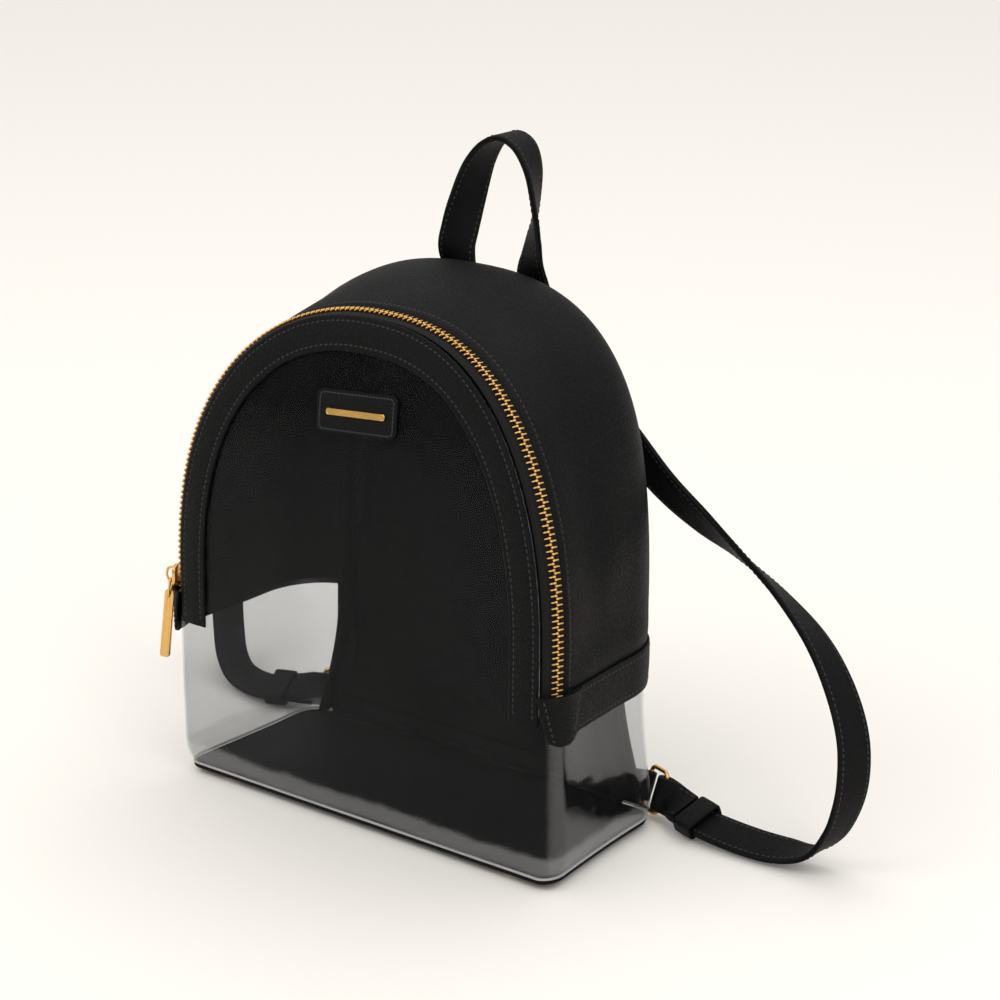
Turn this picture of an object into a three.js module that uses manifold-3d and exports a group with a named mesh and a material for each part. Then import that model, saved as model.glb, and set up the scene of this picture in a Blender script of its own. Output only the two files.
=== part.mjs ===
// A small clear backpack: a domed window in a leather arch, a clear skirt round the foot, a leather
// gusset with a metal zip in its front edge, a leather back, a hand loop and two shoulder straps.
// Lengths are millimetres. +X is to the right seen from the front, +Y to the back, +Z up.
import * as THREE from 'three';
import { mergeVertices } from 'three/addons/utils/BufferGeometryUtils.js';
import Module from 'manifold-3d';

const wasm = await Module();
wasm.setup();

// Driving sizes of the bag's form
const GAP = 0.3; // clearance between touching pieces
const HALF_WIDTH = 121; // of the front, at its foot and at its arch
const FRONT = {
  halfFoot: HALF_WIDTH,
  halfWidth: HALF_WIDTH,
  spring: 118,
  height: 272.5,
  fullness: 2.29,
};
const FLARE = { foot: 4.7, arch: 5.5, top: 14.5 }; // how far the back stands out beyond the front
const BACK = {
  halfFoot: FRONT.halfFoot + FLARE.foot,
  halfWidth: FRONT.halfWidth + FLARE.arch,
  spring: FRONT.spring,
  height: FRONT.height + FLARE.top,
  fullness: 2.52,
};
const DEPTH = 109.3; // front seam to back panel at the foot
const BACK_LEAN = 18.7; // how far the top of the back sits behind its foot
const FRONT_LEAN = 21.7; // how far the top of the front sits behind its foot
const DOME = 3; // bulge of the window
const ROLL = { side: 8.5, top: 1.5, depth: 12.6 }; // rounded edge that carries the zip
const CORNER = { side: 37.5, top: 30.3, foot: 16, inset: 0.85 }; // rounding at the back
const FOOT_BLEND = 70; // height over which the back corner opens from its tight foot

// Walls
const CLEAR_WALL = 0.9;
const LEATHER = 1.6;
const LINING = 0.8;
const BACK_WALL = 2.4;
const BASE_WALL = 2.2;

// Front arch, zip and side bands
const BAND = { width: 16.5, end: 87 };
const CHAIN = { width: 6.7, height: 2.2, at: 9.7, end: 99 }; // at: from the front seam, round the roll
const TAPE = { wall: 0.6, front: 1.9, rear: 14.6 };
const SIDE_BAND = { low: 80, high: 102.5, front: 13.5 };
const END_TAB = { top: 104, length: 27, wideTop: 24, wideEnd: 14, start: 0.6 };
const PANEL_JOIN = 91; // height where the clear skirt meets the gusset, under the side band

// Patch on the window
const PATCH = { width: 51.5, height: 21.8, wall: 1.4, corner: 4, belowTop: 46.5, tilt: 4.5 };
const PATCH_BAR = { width: 38, height: 3.2, wall: 0.7 };

// Inside
const BINDING = { width: 5, reach: 15, back: 3 };
const BASE_ROLL = { radius: 3, rise: 6 };
const HEM = { low: 84, front: 16.5 };

// Foot
const STUD = { radius: 5.5, height: 2.6, inX: 24, inFront: 12, inBack: 18 };

// Hand loop and shoulder straps
const HANDLE = { width: 20.5, wall: 3, legs: 25.5, rise: 73, seat: 16, off: 1.1 };
const STRAP = { width: 19, wall: 3 };
const RING = { wire: 1.2, open: 10, room: 0.5, beside: 1.2, inX: 11, behind: 6.5, height: 13.4 };
const RING_TAB = { width: 16, wall: 1.5, seat: 12, off: 1.1, tilt: 35 };
const STRAP_FOLD = 20; // length of the strap's folded lower end, from the ring's bar
const KEEPER = { length: 13, wall: 1.6, at: 22, room: 2.4 };

// Zip slider and pull
const SLIDER = { length: 10.5, top: 9.5, foot: 7.5, height: 2.2, aboveTab: 0.6 };
const BAIL = { wire: 0.7, rise: 4.4, long: 9 };
const LINK = { wire: 0.7, long: 10, wide: 4.4 };
const PULL = { length: 40, width: 5.6, wall: 2.2, eye: 1.15, hang: 7 };

const leather = new THREE.MeshStandardMaterial({ color: 0x15151a, roughness: 0.62, metalness: 0 });
const lining = new THREE.MeshStandardMaterial({ color: 0x101013, roughness: 0.85, metalness: 0 });
const webbing = new THREE.MeshStandardMaterial({ color: 0x121214, roughness: 0.9, metalness: 0 });
const gold = new THREE.MeshStandardMaterial({ color: 0xc9963f, roughness: 0.28, metalness: 1 });
const clear = new THREE.MeshStandardMaterial({
  color: 0xd8dadc, roughness: 0.08, metalness: 0, transparent: true, opacity: 0.25,
});

const mix = (a, b, t) => a + (b - a) * t;
const clamp = (v, low, high) => Math.min(high, Math.max(low, v));
const steps = (count) => Array.from({ length: count + 1 }, (_, i) => i / count);
const vec = (x, y, z) => new THREE.Vector3(x, y, z);

// An outline is followed by its share s: -1 at the left foot, 0 at the top, 1 at the right foot.
const SPRING_SHARE = 0.35; // share of each half that is the upright side
const shareAt = (height) => 1 - SPRING_SHARE * (height / FRONT.spring); // right side, below the spring

function outlinePoint(outline, s) {
  const side = s < 0 ? -1 : 1;
  const climb = 1 - Math.abs(s);
  if (climb <= SPRING_SHARE) {
    const t = climb / SPRING_SHARE;
    const half = mix(outline.halfFoot, outline.halfWidth, Math.sin((t * Math.PI) / 2));
    return { x: side * half, z: outline.spring * t };
  }
  const angle = (((climb - SPRING_SHARE) / (1 - SPRING_SHARE)) * Math.PI) / 2;
  const power = 2 / outline.fullness;
  return {
    x: side * outline.halfWidth * Math.max(Math.cos(angle), 0) ** power,
    z: outline.spring + (outline.height - outline.spring) * Math.sin(angle) ** power,
  };
}

// The outline's point with its outward direction, from two points close by.
function outlineAt(outline, s) {
  const reach = 0.004;
  const before = outlinePoint(outline, Math.max(s - reach, -1));
  const after = outlinePoint(outline, Math.min(s + reach, 1));
  const length = Math.hypot(after.x - before.x, after.z - before.z);
  const point = outlinePoint(outline, s);
  return { ...point, nx: -(after.z - before.z) / length, nz: (after.x - before.x) / length };
}

const backY = (z) => DEPTH + BACK_LEAN * clamp(z / BACK.height, 0, 1) ** 2;

function frontY(x, z) {
  const up = clamp(z / FRONT.height, 0, 1);
  const across = clamp(x / FRONT.halfWidth, -1, 1);
  return FRONT_LEAN * up ** 4 - DOME * (1 - across ** 2) * 4 * up * (1 - up);
}

// Soft dents of the gusset: share along the outline, share of the depth, their reach and their depth.
const DENTS = [
  { along: 0.3, back: 0.5, reachAlong: 0.14, reachBack: 0.3, deep: 0.03 },
  { along: 0.52, back: 0.4, reachAlong: 0.12, reachBack: 0.25, deep: 0.022 },
  { along: -0.4, back: 0.55, reachAlong: 0.16, reachBack: 0.3, deep: 0.03 },
];

function dentAt(s, share) {
  const one = (d) =>
    d.deep * Math.exp(-(((s - d.along) / d.reachAlong) ** 2) - ((share - d.back) / d.reachBack) ** 2);
  return DEPTH * DENTS.reduce((sum, d) => sum + one(d), 0);
}

// One line over the bag's side at share s, from the front seam to the back seam: the front roll, the
// straight gusset and the rounded back corner, as points with the length run so far.
const lines = new Map();
function sideLine(s) {
  const key = s.toFixed(6);
  if (lines.has(key)) return lines.get(key);
  const front = outlineAt(FRONT, s);
  const back = outlineAt(BACK, s);
  const up = Math.max(front.nz, 0);
  const low = clamp(1 - front.z / FOOT_BLEND, 0, 1) ** 1.5;
  const out = mix(ROLL.side, ROLL.top, up ** 2);
  const corner = mix(CORNER.side, CORNER.top, up ** 1.5) + (CORNER.foot - CORNER.side) * low;
  const startY = frontY(front.x, front.z);
  const cornerY = backY(back.z) - corner;
  const points = steps(6).map((t) => {
    const turn = (t * Math.PI) / 2;
    const o = out * Math.sin(turn);
    return vec(front.x + front.nx * o, startY + ROLL.depth * (1 - Math.cos(turn)), front.z + front.nz * o);
  });
  const edge = points[points.length - 1].clone();
  for (const t of steps(4).slice(1)) {
    const swell = Math.sin((t * Math.PI) / 2);
    const dent = dentAt(s, t) * (1 - low) * Math.sin(t * Math.PI);
    points.push(vec(
      mix(edge.x, back.x, swell) - front.nx * dent,
      mix(edge.y, cornerY, t),
      mix(edge.z, back.z, swell) - front.nz * dent,
    ));
  }
  for (const t of steps(6).slice(1)) {
    const turn = (t * Math.PI) / 2;
    const inset = corner * CORNER.inset * (1 - Math.cos(turn));
    points.push(vec(back.x - back.nx * inset, cornerY + corner * Math.sin(turn), back.z - back.nz * inset));
  }
  const run = [0];
  for (let i = 1; i < points.length; i++) run.push(run[i - 1] + points[i].distanceTo(points[i - 1]));
  const line = { points, run, length: run[run.length - 1] };
  lines.set(key, line);
  return line;
}

// The bag's outer surface: share s along the outline and distance d back from the front seam.
function surface(s, d) {
  const { points, run, length } = sideLine(s);
  const at = clamp(d, 0, length);
  let i = 1;
  while (i < run.length - 1 && run[i] < at) i++;
  return points[i - 1].clone().lerp(points[i], (at - run[i - 1]) / (run[i] - run[i - 1]));
}

// A sheet over the bag's sides between two distances. It takes the side line's own points as columns,
// so that all sheets share their facets; from and to may depend on the line.
function sideSheet(skin, shares, from, to) {
  const end = (limit, line) => (typeof limit === 'number' ? limit : limit(line));
  const columns = sideLine(0).run.map((_, i) => i);
  return skin.sheet(shares, columns, (s, i) => {
    const line = sideLine(s);
    return surface(s, clamp(line.run[i], end(from, line), end(to, line)));
  });
}

function surfaceNormal(s, d) {
  const ds = 0.003;
  const dd = 0.6;
  const along = surface(Math.min(s + ds, 1), d).sub(surface(Math.max(s - ds, -1), d));
  const deep = surface(s, d + dd).sub(surface(s, Math.max(d - dd, 0)));
  return along.cross(deep).normalize();
}

// An open skin of shared points and triangles, seen from outside, that gets a wall afterwards.
class Skin {
  points = [];
  faces = [];
  seen = new Map();

  point(p) {
    const key = [p.x, p.y, p.z].map((v) => Math.round(v * 1000)).join();
    if (!this.seen.has(key)) {
      this.seen.set(key, this.points.length);
      this.points.push(p.clone());
    }
    return this.seen.get(key);
  }

  // A sheet of quads over the lists us and vs; its outside is where u turned towards v points.
  sheet(us, vs, at) {
    const ids = us.map((u) => vs.map((v) => this.point(at(u, v))));
    for (let i = 1; i < us.length; i++) {
      for (let j = 1; j < vs.length; j++) {
        this.face(ids[i - 1][j - 1], ids[i][j - 1], ids[i][j]);
        this.face(ids[i - 1][j - 1], ids[i][j], ids[i - 1][j]);
      }
    }
    return this;
  }

  face(a, b, c) {
    if (a !== b && b !== c && c !== a) this.faces.push([a, b, c]);
  }

  normals() {
    const sums = this.points.map(() => vec(0, 0, 0));
    for (const face of this.faces) {
      const [a, b, c] = face.map((i) => this.points[i]);
      const n = b.clone().sub(a).cross(c.clone().sub(a));
      face.forEach((i) => sums[i].add(n));
    }
    return sums.map((n) => n.normalize());
  }

  // The closed wall whose outer side stands outer off the skin and which is thick deep.
  wall(outer, thick) {
    const normals = this.normals();
    const count = this.points.length;
    const at = (lift) => this.points.map((p, i) => p.clone().addScaledVector(normals[i], lift));
    const points = [...at(outer), ...at(outer - thick)];
    const faces = [];
    const edges = new Map();
    for (const [a, b, c] of this.faces) {
      faces.push([a, b, c], [a + count, c + count, b + count]);
      for (const [p, q] of [[a, b], [b, c], [c, a]]) {
        if (edges.has(`${q},${p}`)) edges.delete(`${q},${p}`);
        else edges.set(`${p},${q}`, [p, q]);
      }
    }
    for (const [p, q] of edges.values()) faces.push([p, p + count, q + count], [p, q + count, q]);
    return solid(points, faces);
  }
}

// Turns a closed geometry's faces outwards, whichever way they were listed
function outward(geometry) {
  const p = geometry.attributes.position;
  const index = geometry.index.array;
  const corner = (i) => vec(p.getX(i), p.getY(i), p.getZ(i));
  let volume = 0;
  for (let i = 0; i < index.length; i += 3) {
    volume += corner(index[i]).dot(corner(index[i + 1]).cross(corner(index[i + 2])));
  }
  if (volume < 0) index.reverse();
  return geometry;
}

function solid(points, faces) {
  const geometry = new THREE.BufferGeometry();
  geometry.setAttribute('position', new THREE.Float32BufferAttribute(points.flatMap((p) => p.toArray()), 3));
  geometry.setIndex(faces.flat());
  return geometry;
}

// Booleans on closed geometries
function toManifold(geometry) {
  const bare = geometry.clone();
  bare.deleteAttribute('normal');
  bare.deleteAttribute('uv');
  const merged = mergeVertices(bare, 1e-4);
  return new wasm.Manifold(new wasm.Mesh({
    numProp: 3,
    vertProperties: new Float32Array(merged.attributes.position.array),
    triVerts: new Uint32Array(merged.index.array),
  }));
}

function fromManifold(manifold) {
  const mesh = manifold.getMesh();
  const geometry = new THREE.BufferGeometry();
  geometry.setAttribute('position', new THREE.Float32BufferAttribute(mesh.vertProperties, 3));
  geometry.setIndex([...mesh.triVerts]);
  return geometry;
}

// Lists of shares for the sheets: heights up the straight side, then angles round the arch.
const archSteps = (lowest, perSide) => {
  const start = shareAt(lowest);
  const side = [0.25, 0.5, 0.75].map((t) => mix(start, 1 - SPRING_SHARE, t));
  const arch = steps(perSide).map((t) => (1 - SPRING_SHARE) * (1 - t));
  const right = [start, ...side, ...arch];
  return [...right.slice(0, -1).map((s) => -s), ...right.reverse()];
};

const bag = new THREE.Group();
function add(name, geometry, material) {
  const mesh = new THREE.Mesh(geometry, material);
  mesh.name = name;
  bag.add(mesh);
  return mesh;
}

// A disc inside a closed loop of x, z points: rings drawn in towards its middle.
function disc(skin, loop, yAt, outwards) {
  const middle = { x: 0, z: FRONT.height * 0.45 };
  const closed = [...loop, loop[0]];
  const shares = [0, 0.3, 0.55, 0.75, 0.87, 1];
  const ordered = outwards ? shares : [...shares].reverse();
  return skin.sheet(closed, ordered, (p, t) => {
    const x = mix(middle.x, p.x, t);
    const z = mix(middle.z, p.z, t);
    return vec(x, yAt(x, z), z);
  });
}

// The back seam, or a place that distance short of it
const seam = (short) => (line) => line.length - short;

// Clear panel: the domed window and, in one piece, the skirt round both lower corners
const WRAP_STEPS = 4;
const wrapShares = steps(WRAP_STEPS).map((t) => shareAt(mix(0, PANEL_JOIN, t)));
const upperShares = archSteps(PANEL_JOIN, 10).slice(1, -1);
const roundShares = [...wrapShares.map((s) => -s), ...upperShares, ...[...wrapShares].reverse()];

function clearPanel() {
  const skin = new Skin();
  const left = wrapShares.map((s) => -s);
  const foot = steps(8).slice(1, -1).map((t) => ({ x: mix(FRONT.halfFoot, -FRONT.halfFoot, t), z: 0 }));
  const loop = [...roundShares.map((s) => outlinePoint(FRONT, s)), ...foot];
  disc(skin, loop, frontY, true);
  sideSheet(skin, left, 0, seam(0));
  sideSheet(skin, [...wrapShares].reverse(), 0, seam(0));
  return skin.wall(0, CLEAR_WALL);
}
add('clear_panel', clearPanel(), clear);

// The front plane near its edge: inset is measured inwards from the front seam.
function frontEdge(s, inset) {
  const p = outlineAt(FRONT, s);
  const x = p.x - p.nx * inset;
  const z = p.z - p.nz * inset;
  return vec(x, frontY(x, z), z);
}

function frontBand() {
  const skin = new Skin().sheet(archSteps(BAND.end, 10), [BAND.width, BAND.width / 2, 0.2], frontEdge);
  return skin.wall(GAP + LEATHER, LEATHER);
}
add('front_band', frontBand(), leather);

// Zip: two tapes with the chain of teeth between them, round the roll
const zipShares = archSteps(CHAIN.end, 10);
const tapeStrip = (from, to) => sideSheet(new Skin(), zipShares, from, to).wall(-GAP, TAPE.wall);
add('zip_tape_front', tapeStrip(TAPE.front, CHAIN.at - CHAIN.width / 2 - GAP), webbing);
add('zip_tape_rear', tapeStrip(CHAIN.at + CHAIN.width / 2 + GAP, TAPE.rear), webbing);
const chain = sideSheet(new Skin(), zipShares, CHAIN.at - CHAIN.width / 2, CHAIN.at + CHAIN.width / 2);
add('zip_teeth', chain.wall(CHAIN.height * 0.6, CHAIN.height), gold);

// Gusset and its lining
function gusset(front, low, outer, thick, shortBy) {
  const shares = archSteps(low, 10);
  return sideSheet(new Skin(), shares, front, seam(shortBy)).wall(outer, thick);
}
add('gusset', gusset(TAPE.rear + GAP, PANEL_JOIN + GAP, 0, LEATHER, GAP), leather);
add('gusset_lining', gusset(HEM.front, HEM.low, -LEATHER - GAP, LINING, BINDING.width + 2), lining);

// Side bands over the join of the gusset and the clear skirt, and the tabs over the zip's ends
function sideBand(side) {
  const rows = [SIDE_BAND.low, SIDE_BAND.high].map((z) => side * shareAt(z));
  const shares = side < 0 ? rows : rows.reverse();
  return sideSheet(new Skin(), shares, SIDE_BAND.front, seam(GAP)).wall(GAP + LEATHER, LEATHER);
}

function endTab(side) {
  const lift = 2 * (GAP + LEATHER);
  const middle = END_TAB.start + END_TAB.wideTop / 2;
  const round = END_TAB.wideEnd / 2;
  const rows = [0, 0.3, 0.6, 0.8, 0.92, 1];
  const at = (t, u) => {
    const fromEnd = END_TAB.length * (1 - t);
    const taper = mix(END_TAB.wideTop, END_TAB.wideEnd, t) / 2;
    const bend = Math.sqrt(round ** 2 - (round - Math.min(fromEnd, round)) ** 2) + 0.35 * round;
    const cap = fromEnd < round ? bend : Infinity;
    return surface(side * shareAt(END_TAB.top - END_TAB.length * t), middle + u * Math.min(taper, cap));
  };
  const across = [-1, -0.5, 0, 0.5, 1];
  return new Skin().sheet(side < 0 ? [...rows].reverse() : rows, across, at).wall(lift, LEATHER);
}
for (const [word, side] of [['left', -1], ['right', 1]]) {
  add(`side_band_${word}`, sideBand(side), leather);
  add(`zip_end_tab_${word}`, endTab(side), leather);
}

// Back panel and its lining, a disc each inside the back seam
function backDisc(outer, thick, inset, foot) {
  const arch = roundShares.filter((s) => outlinePoint(BACK, s).z >= foot).map((s) => {
    const p = sideLine(s).points.at(-1);
    const n = outlineAt(BACK, s);
    return { x: p.x - n.nx * inset, z: p.z - n.nz * inset };
  });
  const end = arch[arch.length - 1];
  const low = steps(6).slice(1, -1).map((t) => ({ x: mix(end.x, -end.x, t), z: end.z }));
  return disc(new Skin(), [...arch, ...low], (x, z) => backY(z), false).wall(outer, thick);
}
add('back_panel', backDisc(0, BACK_WALL, 2 * GAP, 0), leather);
const liningInset = BINDING.back + BINDING.width + 4 * GAP;
add('back_lining', backDisc(-BACK_WALL - GAP, LINING, liningInset, BASE_ROLL.rise * 2), lining);

// A strip of leather or webbing along a path: stations give its middle and the way its width points.
function ribbon(stations, width, wall, count, closed = false) {
  const middles = new THREE.CatmullRomCurve3(stations.map((q) => q.middle), closed, 'centripetal');
  const wide = new THREE.CatmullRomCurve3(stations.map((q) => q.wide), closed, 'centripetal');
  const frames = steps(count).slice(0, closed ? -1 : undefined).map((t) => {
    const along = middles.getTangent(t);
    const across = wide.getPoint(t);
    across.addScaledVector(along, -across.dot(along)).normalize();
    return { middle: middles.getPoint(t), along, across, up: along.clone().cross(across) };
  });
  const corners = [[-1, -1], [1, -1], [1, 1], [-1, 1]];
  const points = frames.flatMap((f) => corners.map(([a, b]) => f.middle.clone()
    .addScaledVector(f.across, (a * width) / 2).addScaledVector(f.up, (b * wall) / 2)));
  const faces = [];
  const rings = closed ? frames.length : frames.length - 1;
  for (let i = 0; i < rings; i++) {
    const next = ((i + 1) % frames.length) * 4;
    for (let k = 0; k < 4; k++) {
      const [a, b] = [i * 4 + k, i * 4 + ((k + 1) % 4)];
      const [c, d] = [next + ((k + 1) % 4), next + k];
      faces.push([a, b, c], [a, c, d]);
    }
  }
  const last = points.length - 4;
  if (!closed) faces.push([0, 2, 1], [0, 3, 2], [last, last + 1, last + 2], [last, last + 2, last + 3]);
  return solid(points, faces);
}

// Seam binding round the back seam inside, and the rolled seam along the foot of the back
function seamBinding() {
  const shares = archSteps(BASE_ROLL.rise, 10);
  const stations = shares.map((s) => {
    const line = sideLine(s);
    const n = outlineAt(BACK, s);
    const p = line.points.at(-1).clone();
    p.addScaledVector(vec(-n.nx, 0, -n.nz), BINDING.back + BINDING.width / 2);
    const lowest = p.z - (Math.max(n.nz, 0) * BINDING.width) / 2;
    p.y = backY(lowest) - BACK_WALL - 2 * GAP - BINDING.reach / 2;
    return { middle: p, wide: vec(0, 1, 0) };
  });
  return outward(ribbon(stations, BINDING.reach, BINDING.width, 44));
}
add('seam_binding', seamBinding(), lining);

function roundBar(points, radius, count, sides) {
  const path = new THREE.CatmullRomCurve3(points, false, 'centripetal');
  const section = new THREE.Shape(steps(sides).slice(1).map((t) =>
    new THREE.Vector2(radius * Math.cos(2 * Math.PI * t), radius * Math.sin(2 * Math.PI * t))));
  return new THREE.ExtrudeGeometry(section, { steps: count, bevelEnabled: false, extrudePath: path });
}

function baseBinding() {
  const seamX = sideLine(shareAt(BASE_ROLL.rise)).points.at(-1).x;
  const half = seamX - BINDING.back - BINDING.width - GAP;
  const y = DEPTH - BACK_WALL - LINING - 2 * GAP - BASE_ROLL.radius - 0.4;
  const z = BASE_ROLL.radius + GAP;
  return roundBar([-1, -0.5, 0, 0.5, 1].map((t) => vec(t * half, y, z)), BASE_ROLL.radius, 8, 8);
}
add('base_binding', baseBinding(), lining);

// Base panel: the foot's plan as one plate, and four studs under it
function basePlate() {
  const line = sideLine(1).points;
  const right = line.map((p) => new THREE.Vector2(p.x, p.y));
  const left = line.map((p) => new THREE.Vector2(-p.x, p.y)).reverse();
  const plate = new THREE.ExtrudeGeometry(new THREE.Shape([...right, ...left]), {
    depth: BASE_WALL, bevelEnabled: false,
  });
  return plate.translate(0, 0, -GAP - BASE_WALL);
}
add('base_panel', basePlate(), leather);

const plateUnder = -GAP - BASE_WALL;
function stud(x, y) {
  const r = STUD.radius;
  const h = STUD.height;
  const profile = [[0, -h], [r * 0.6, -h], [r * 0.92, -h * 0.7], [r, -h * 0.3], [r, 0], [0, 0]];
  const geometry = new THREE.LatheGeometry(profile.map(([a, b]) => new THREE.Vector2(a, b)), 12);
  return geometry.rotateX(Math.PI / 2).translate(x, y, plateUnder - GAP);
}
const studX = FRONT.halfFoot - STUD.inX;
for (const [word, side] of [['left', -1], ['right', 1]]) {
  add(`foot_stud_front_${word}`, stud(side * studX, STUD.inFront), gold);
  add(`foot_stud_back_${word}`, stud(side * studX, DEPTH - STUD.inBack), gold);
}
const floor = plateUnder - GAP - STUD.height;

// Patch on the window: a rounded leather rectangle with a plain bar on it
function patchSheet(width, height, corner, lift, wall, columns) {
  const turn = THREE.MathUtils.degToRad(PATCH.tilt);
  const rows = [-1, -0.8, 0, 0.8, 1];
  const at = (u, v) => {
    const rise = (v * height) / 2;
    const over = Math.max(Math.abs(rise) - (height / 2 - corner), 0);
    const half = width / 2 - corner + Math.sqrt(Math.max(corner ** 2 - over ** 2, 0));
    const along = u * half;
    const x = along * Math.cos(turn) - rise * Math.sin(turn);
    const z = FRONT.height - PATCH.belowTop + along * Math.sin(turn) + rise * Math.cos(turn);
    return vec(x, frontY(x, z), z);
  };
  return new Skin().sheet(columns, rows, at).wall(lift + wall, wall);
}
const patchColumns = steps(8).map((t) => 2 * t - 1);
const patchLift = 2 * GAP;
const patch = patchSheet(PATCH.width, PATCH.height, PATCH.corner, patchLift, PATCH.wall, patchColumns);
add('label_patch', patch, leather);
const barLift = patchLift + PATCH.wall + GAP;
const bar = patchSheet(PATCH_BAR.width, PATCH_BAR.height, 1, barLift, PATCH_BAR.wall, patchColumns);
add('label_bar', bar, gold);

const barAt = RING.open / 2 + RING.wire; // each bar of the ring, out from its middle
const turnRadius = (wall) => RING.wire + RING.room + wall / 2; // of the wall's middle, round a bar

// Hand loop: stations of the left leg, as shares of the legs' spread and of the rise; turn is how far the
// strap's width has swung from the bag's width towards its depth, in degrees.
const HANDLE_PATH = [
  { out: 0.99, up: 0.16, behind: -0.03, turn: 24 },
  { out: 0.96, up: 0.3, behind: 0.0, turn: 38 },
  { out: 0.9, up: 0.48, behind: 0.05, turn: 55 },
  { out: 0.68, up: 0.79, behind: 0.12, turn: 75 },
  { out: 0.36, up: 0.95, behind: 0.15, turn: 86 },
  { out: 0.0, up: 1.0, behind: 0.15, turn: 90 },
];

// The share at which the back's arch stands at x
function archShare(x) {
  const angle = Math.acos((x / BACK.halfWidth) ** (BACK.fullness / 2));
  return (1 - SPRING_SHARE) * (1 - angle / (Math.PI / 2));
}

function handLoop() {
  const share = archShare(HANDLE.legs);
  const { length } = sideLine(share);
  // The legs come out of the back seam and lie on the rounded edge as far as the rise.
  const seated = (d, side) => {
    const p = surface(share, d);
    const n = surfaceNormal(share, d).multiplyScalar(HANDLE.wall / 2 + HANDLE.off);
    const slope = surface(share + 0.02, d).sub(surface(share - 0.02, d)).normalize();
    return {
      middle: vec(side * (p.x + n.x), p.y + n.y, p.z + n.z),
      wide: vec(-side * slope.x, -slope.y, -slope.z),
    };
  };
  const foot = seated(length - HANDLE.seat, 1).middle;
  const rising = (row, side) => {
    const turn = THREE.MathUtils.degToRad(row.turn);
    return {
      middle: vec(
        side * row.out * HANDLE.legs,
        foot.y + row.behind * HANDLE.rise,
        foot.z + row.up * HANDLE.rise,
      ),
      wide: vec(-side * Math.cos(turn), Math.sin(turn), 0),
    };
  };
  const seats = [1.5, HANDLE.seat / 2, HANDLE.seat].map((back) => length - back);
  const left = [...seats.map((d) => seated(d, -1)), ...HANDLE_PATH.map((row) => rising(row, -1))];
  const right = [...seats.map((d) => seated(d, 1)), ...HANDLE_PATH.slice(0, -1).map((row) => rising(row, 1))];
  return outward(ribbon([...left, ...right.reverse()], HANDLE.width, HANDLE.wall, 40));
}
add('top_handle', handLoop(), leather);

// The straight lower end of a shoulder strap: place turns a length out from the ring's middle, a height
// off the strap and a width across it into a point. The strap turns flatter between ring and keeper.
function ringFrame(side) {
  const middle = vec(side * (BACK.halfFoot - RING.inX), DEPTH + RING.behind, floor + RING.height);
  const out = vec(side * 0.95, -0.28, -0.045).normalize();
  const wideAt = (a) => {
    const t = THREE.MathUtils.smoothstep(a, barAt, barAt + STRAP_FOLD);
    const wide = vec(0, mix(0.3, 0.92, t), mix(0.95, 0.36, t));
    return wide.addScaledVector(out, -wide.dot(out)).normalize();
  };
  const place = (a, t, w = 0) => {
    const wide = wideAt(a);
    const up = out.clone().cross(wide).multiplyScalar(side);
    return middle.clone().addScaledVector(out, a).addScaledVector(up, t).addScaledVector(wide, w);
  };
  return { place, wideAt };
}

// Middle of a wall's U-turn round one of the ring's bars, from below to above it; the legs leave turned
// by tilt degrees from the ring's plane.
function uTurn(frame, bar, wall, tilt) {
  const radius = turnRadius(wall);
  return [-90, -45, 0, 45, 90].map((deg) => {
    const turn = THREE.MathUtils.degToRad(deg - tilt);
    return {
      middle: frame.place(bar - Math.sign(bar) * radius * Math.cos(turn), radius * Math.sin(turn)),
      wide: frame.wideAt(bar),
    };
  });
}

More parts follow.
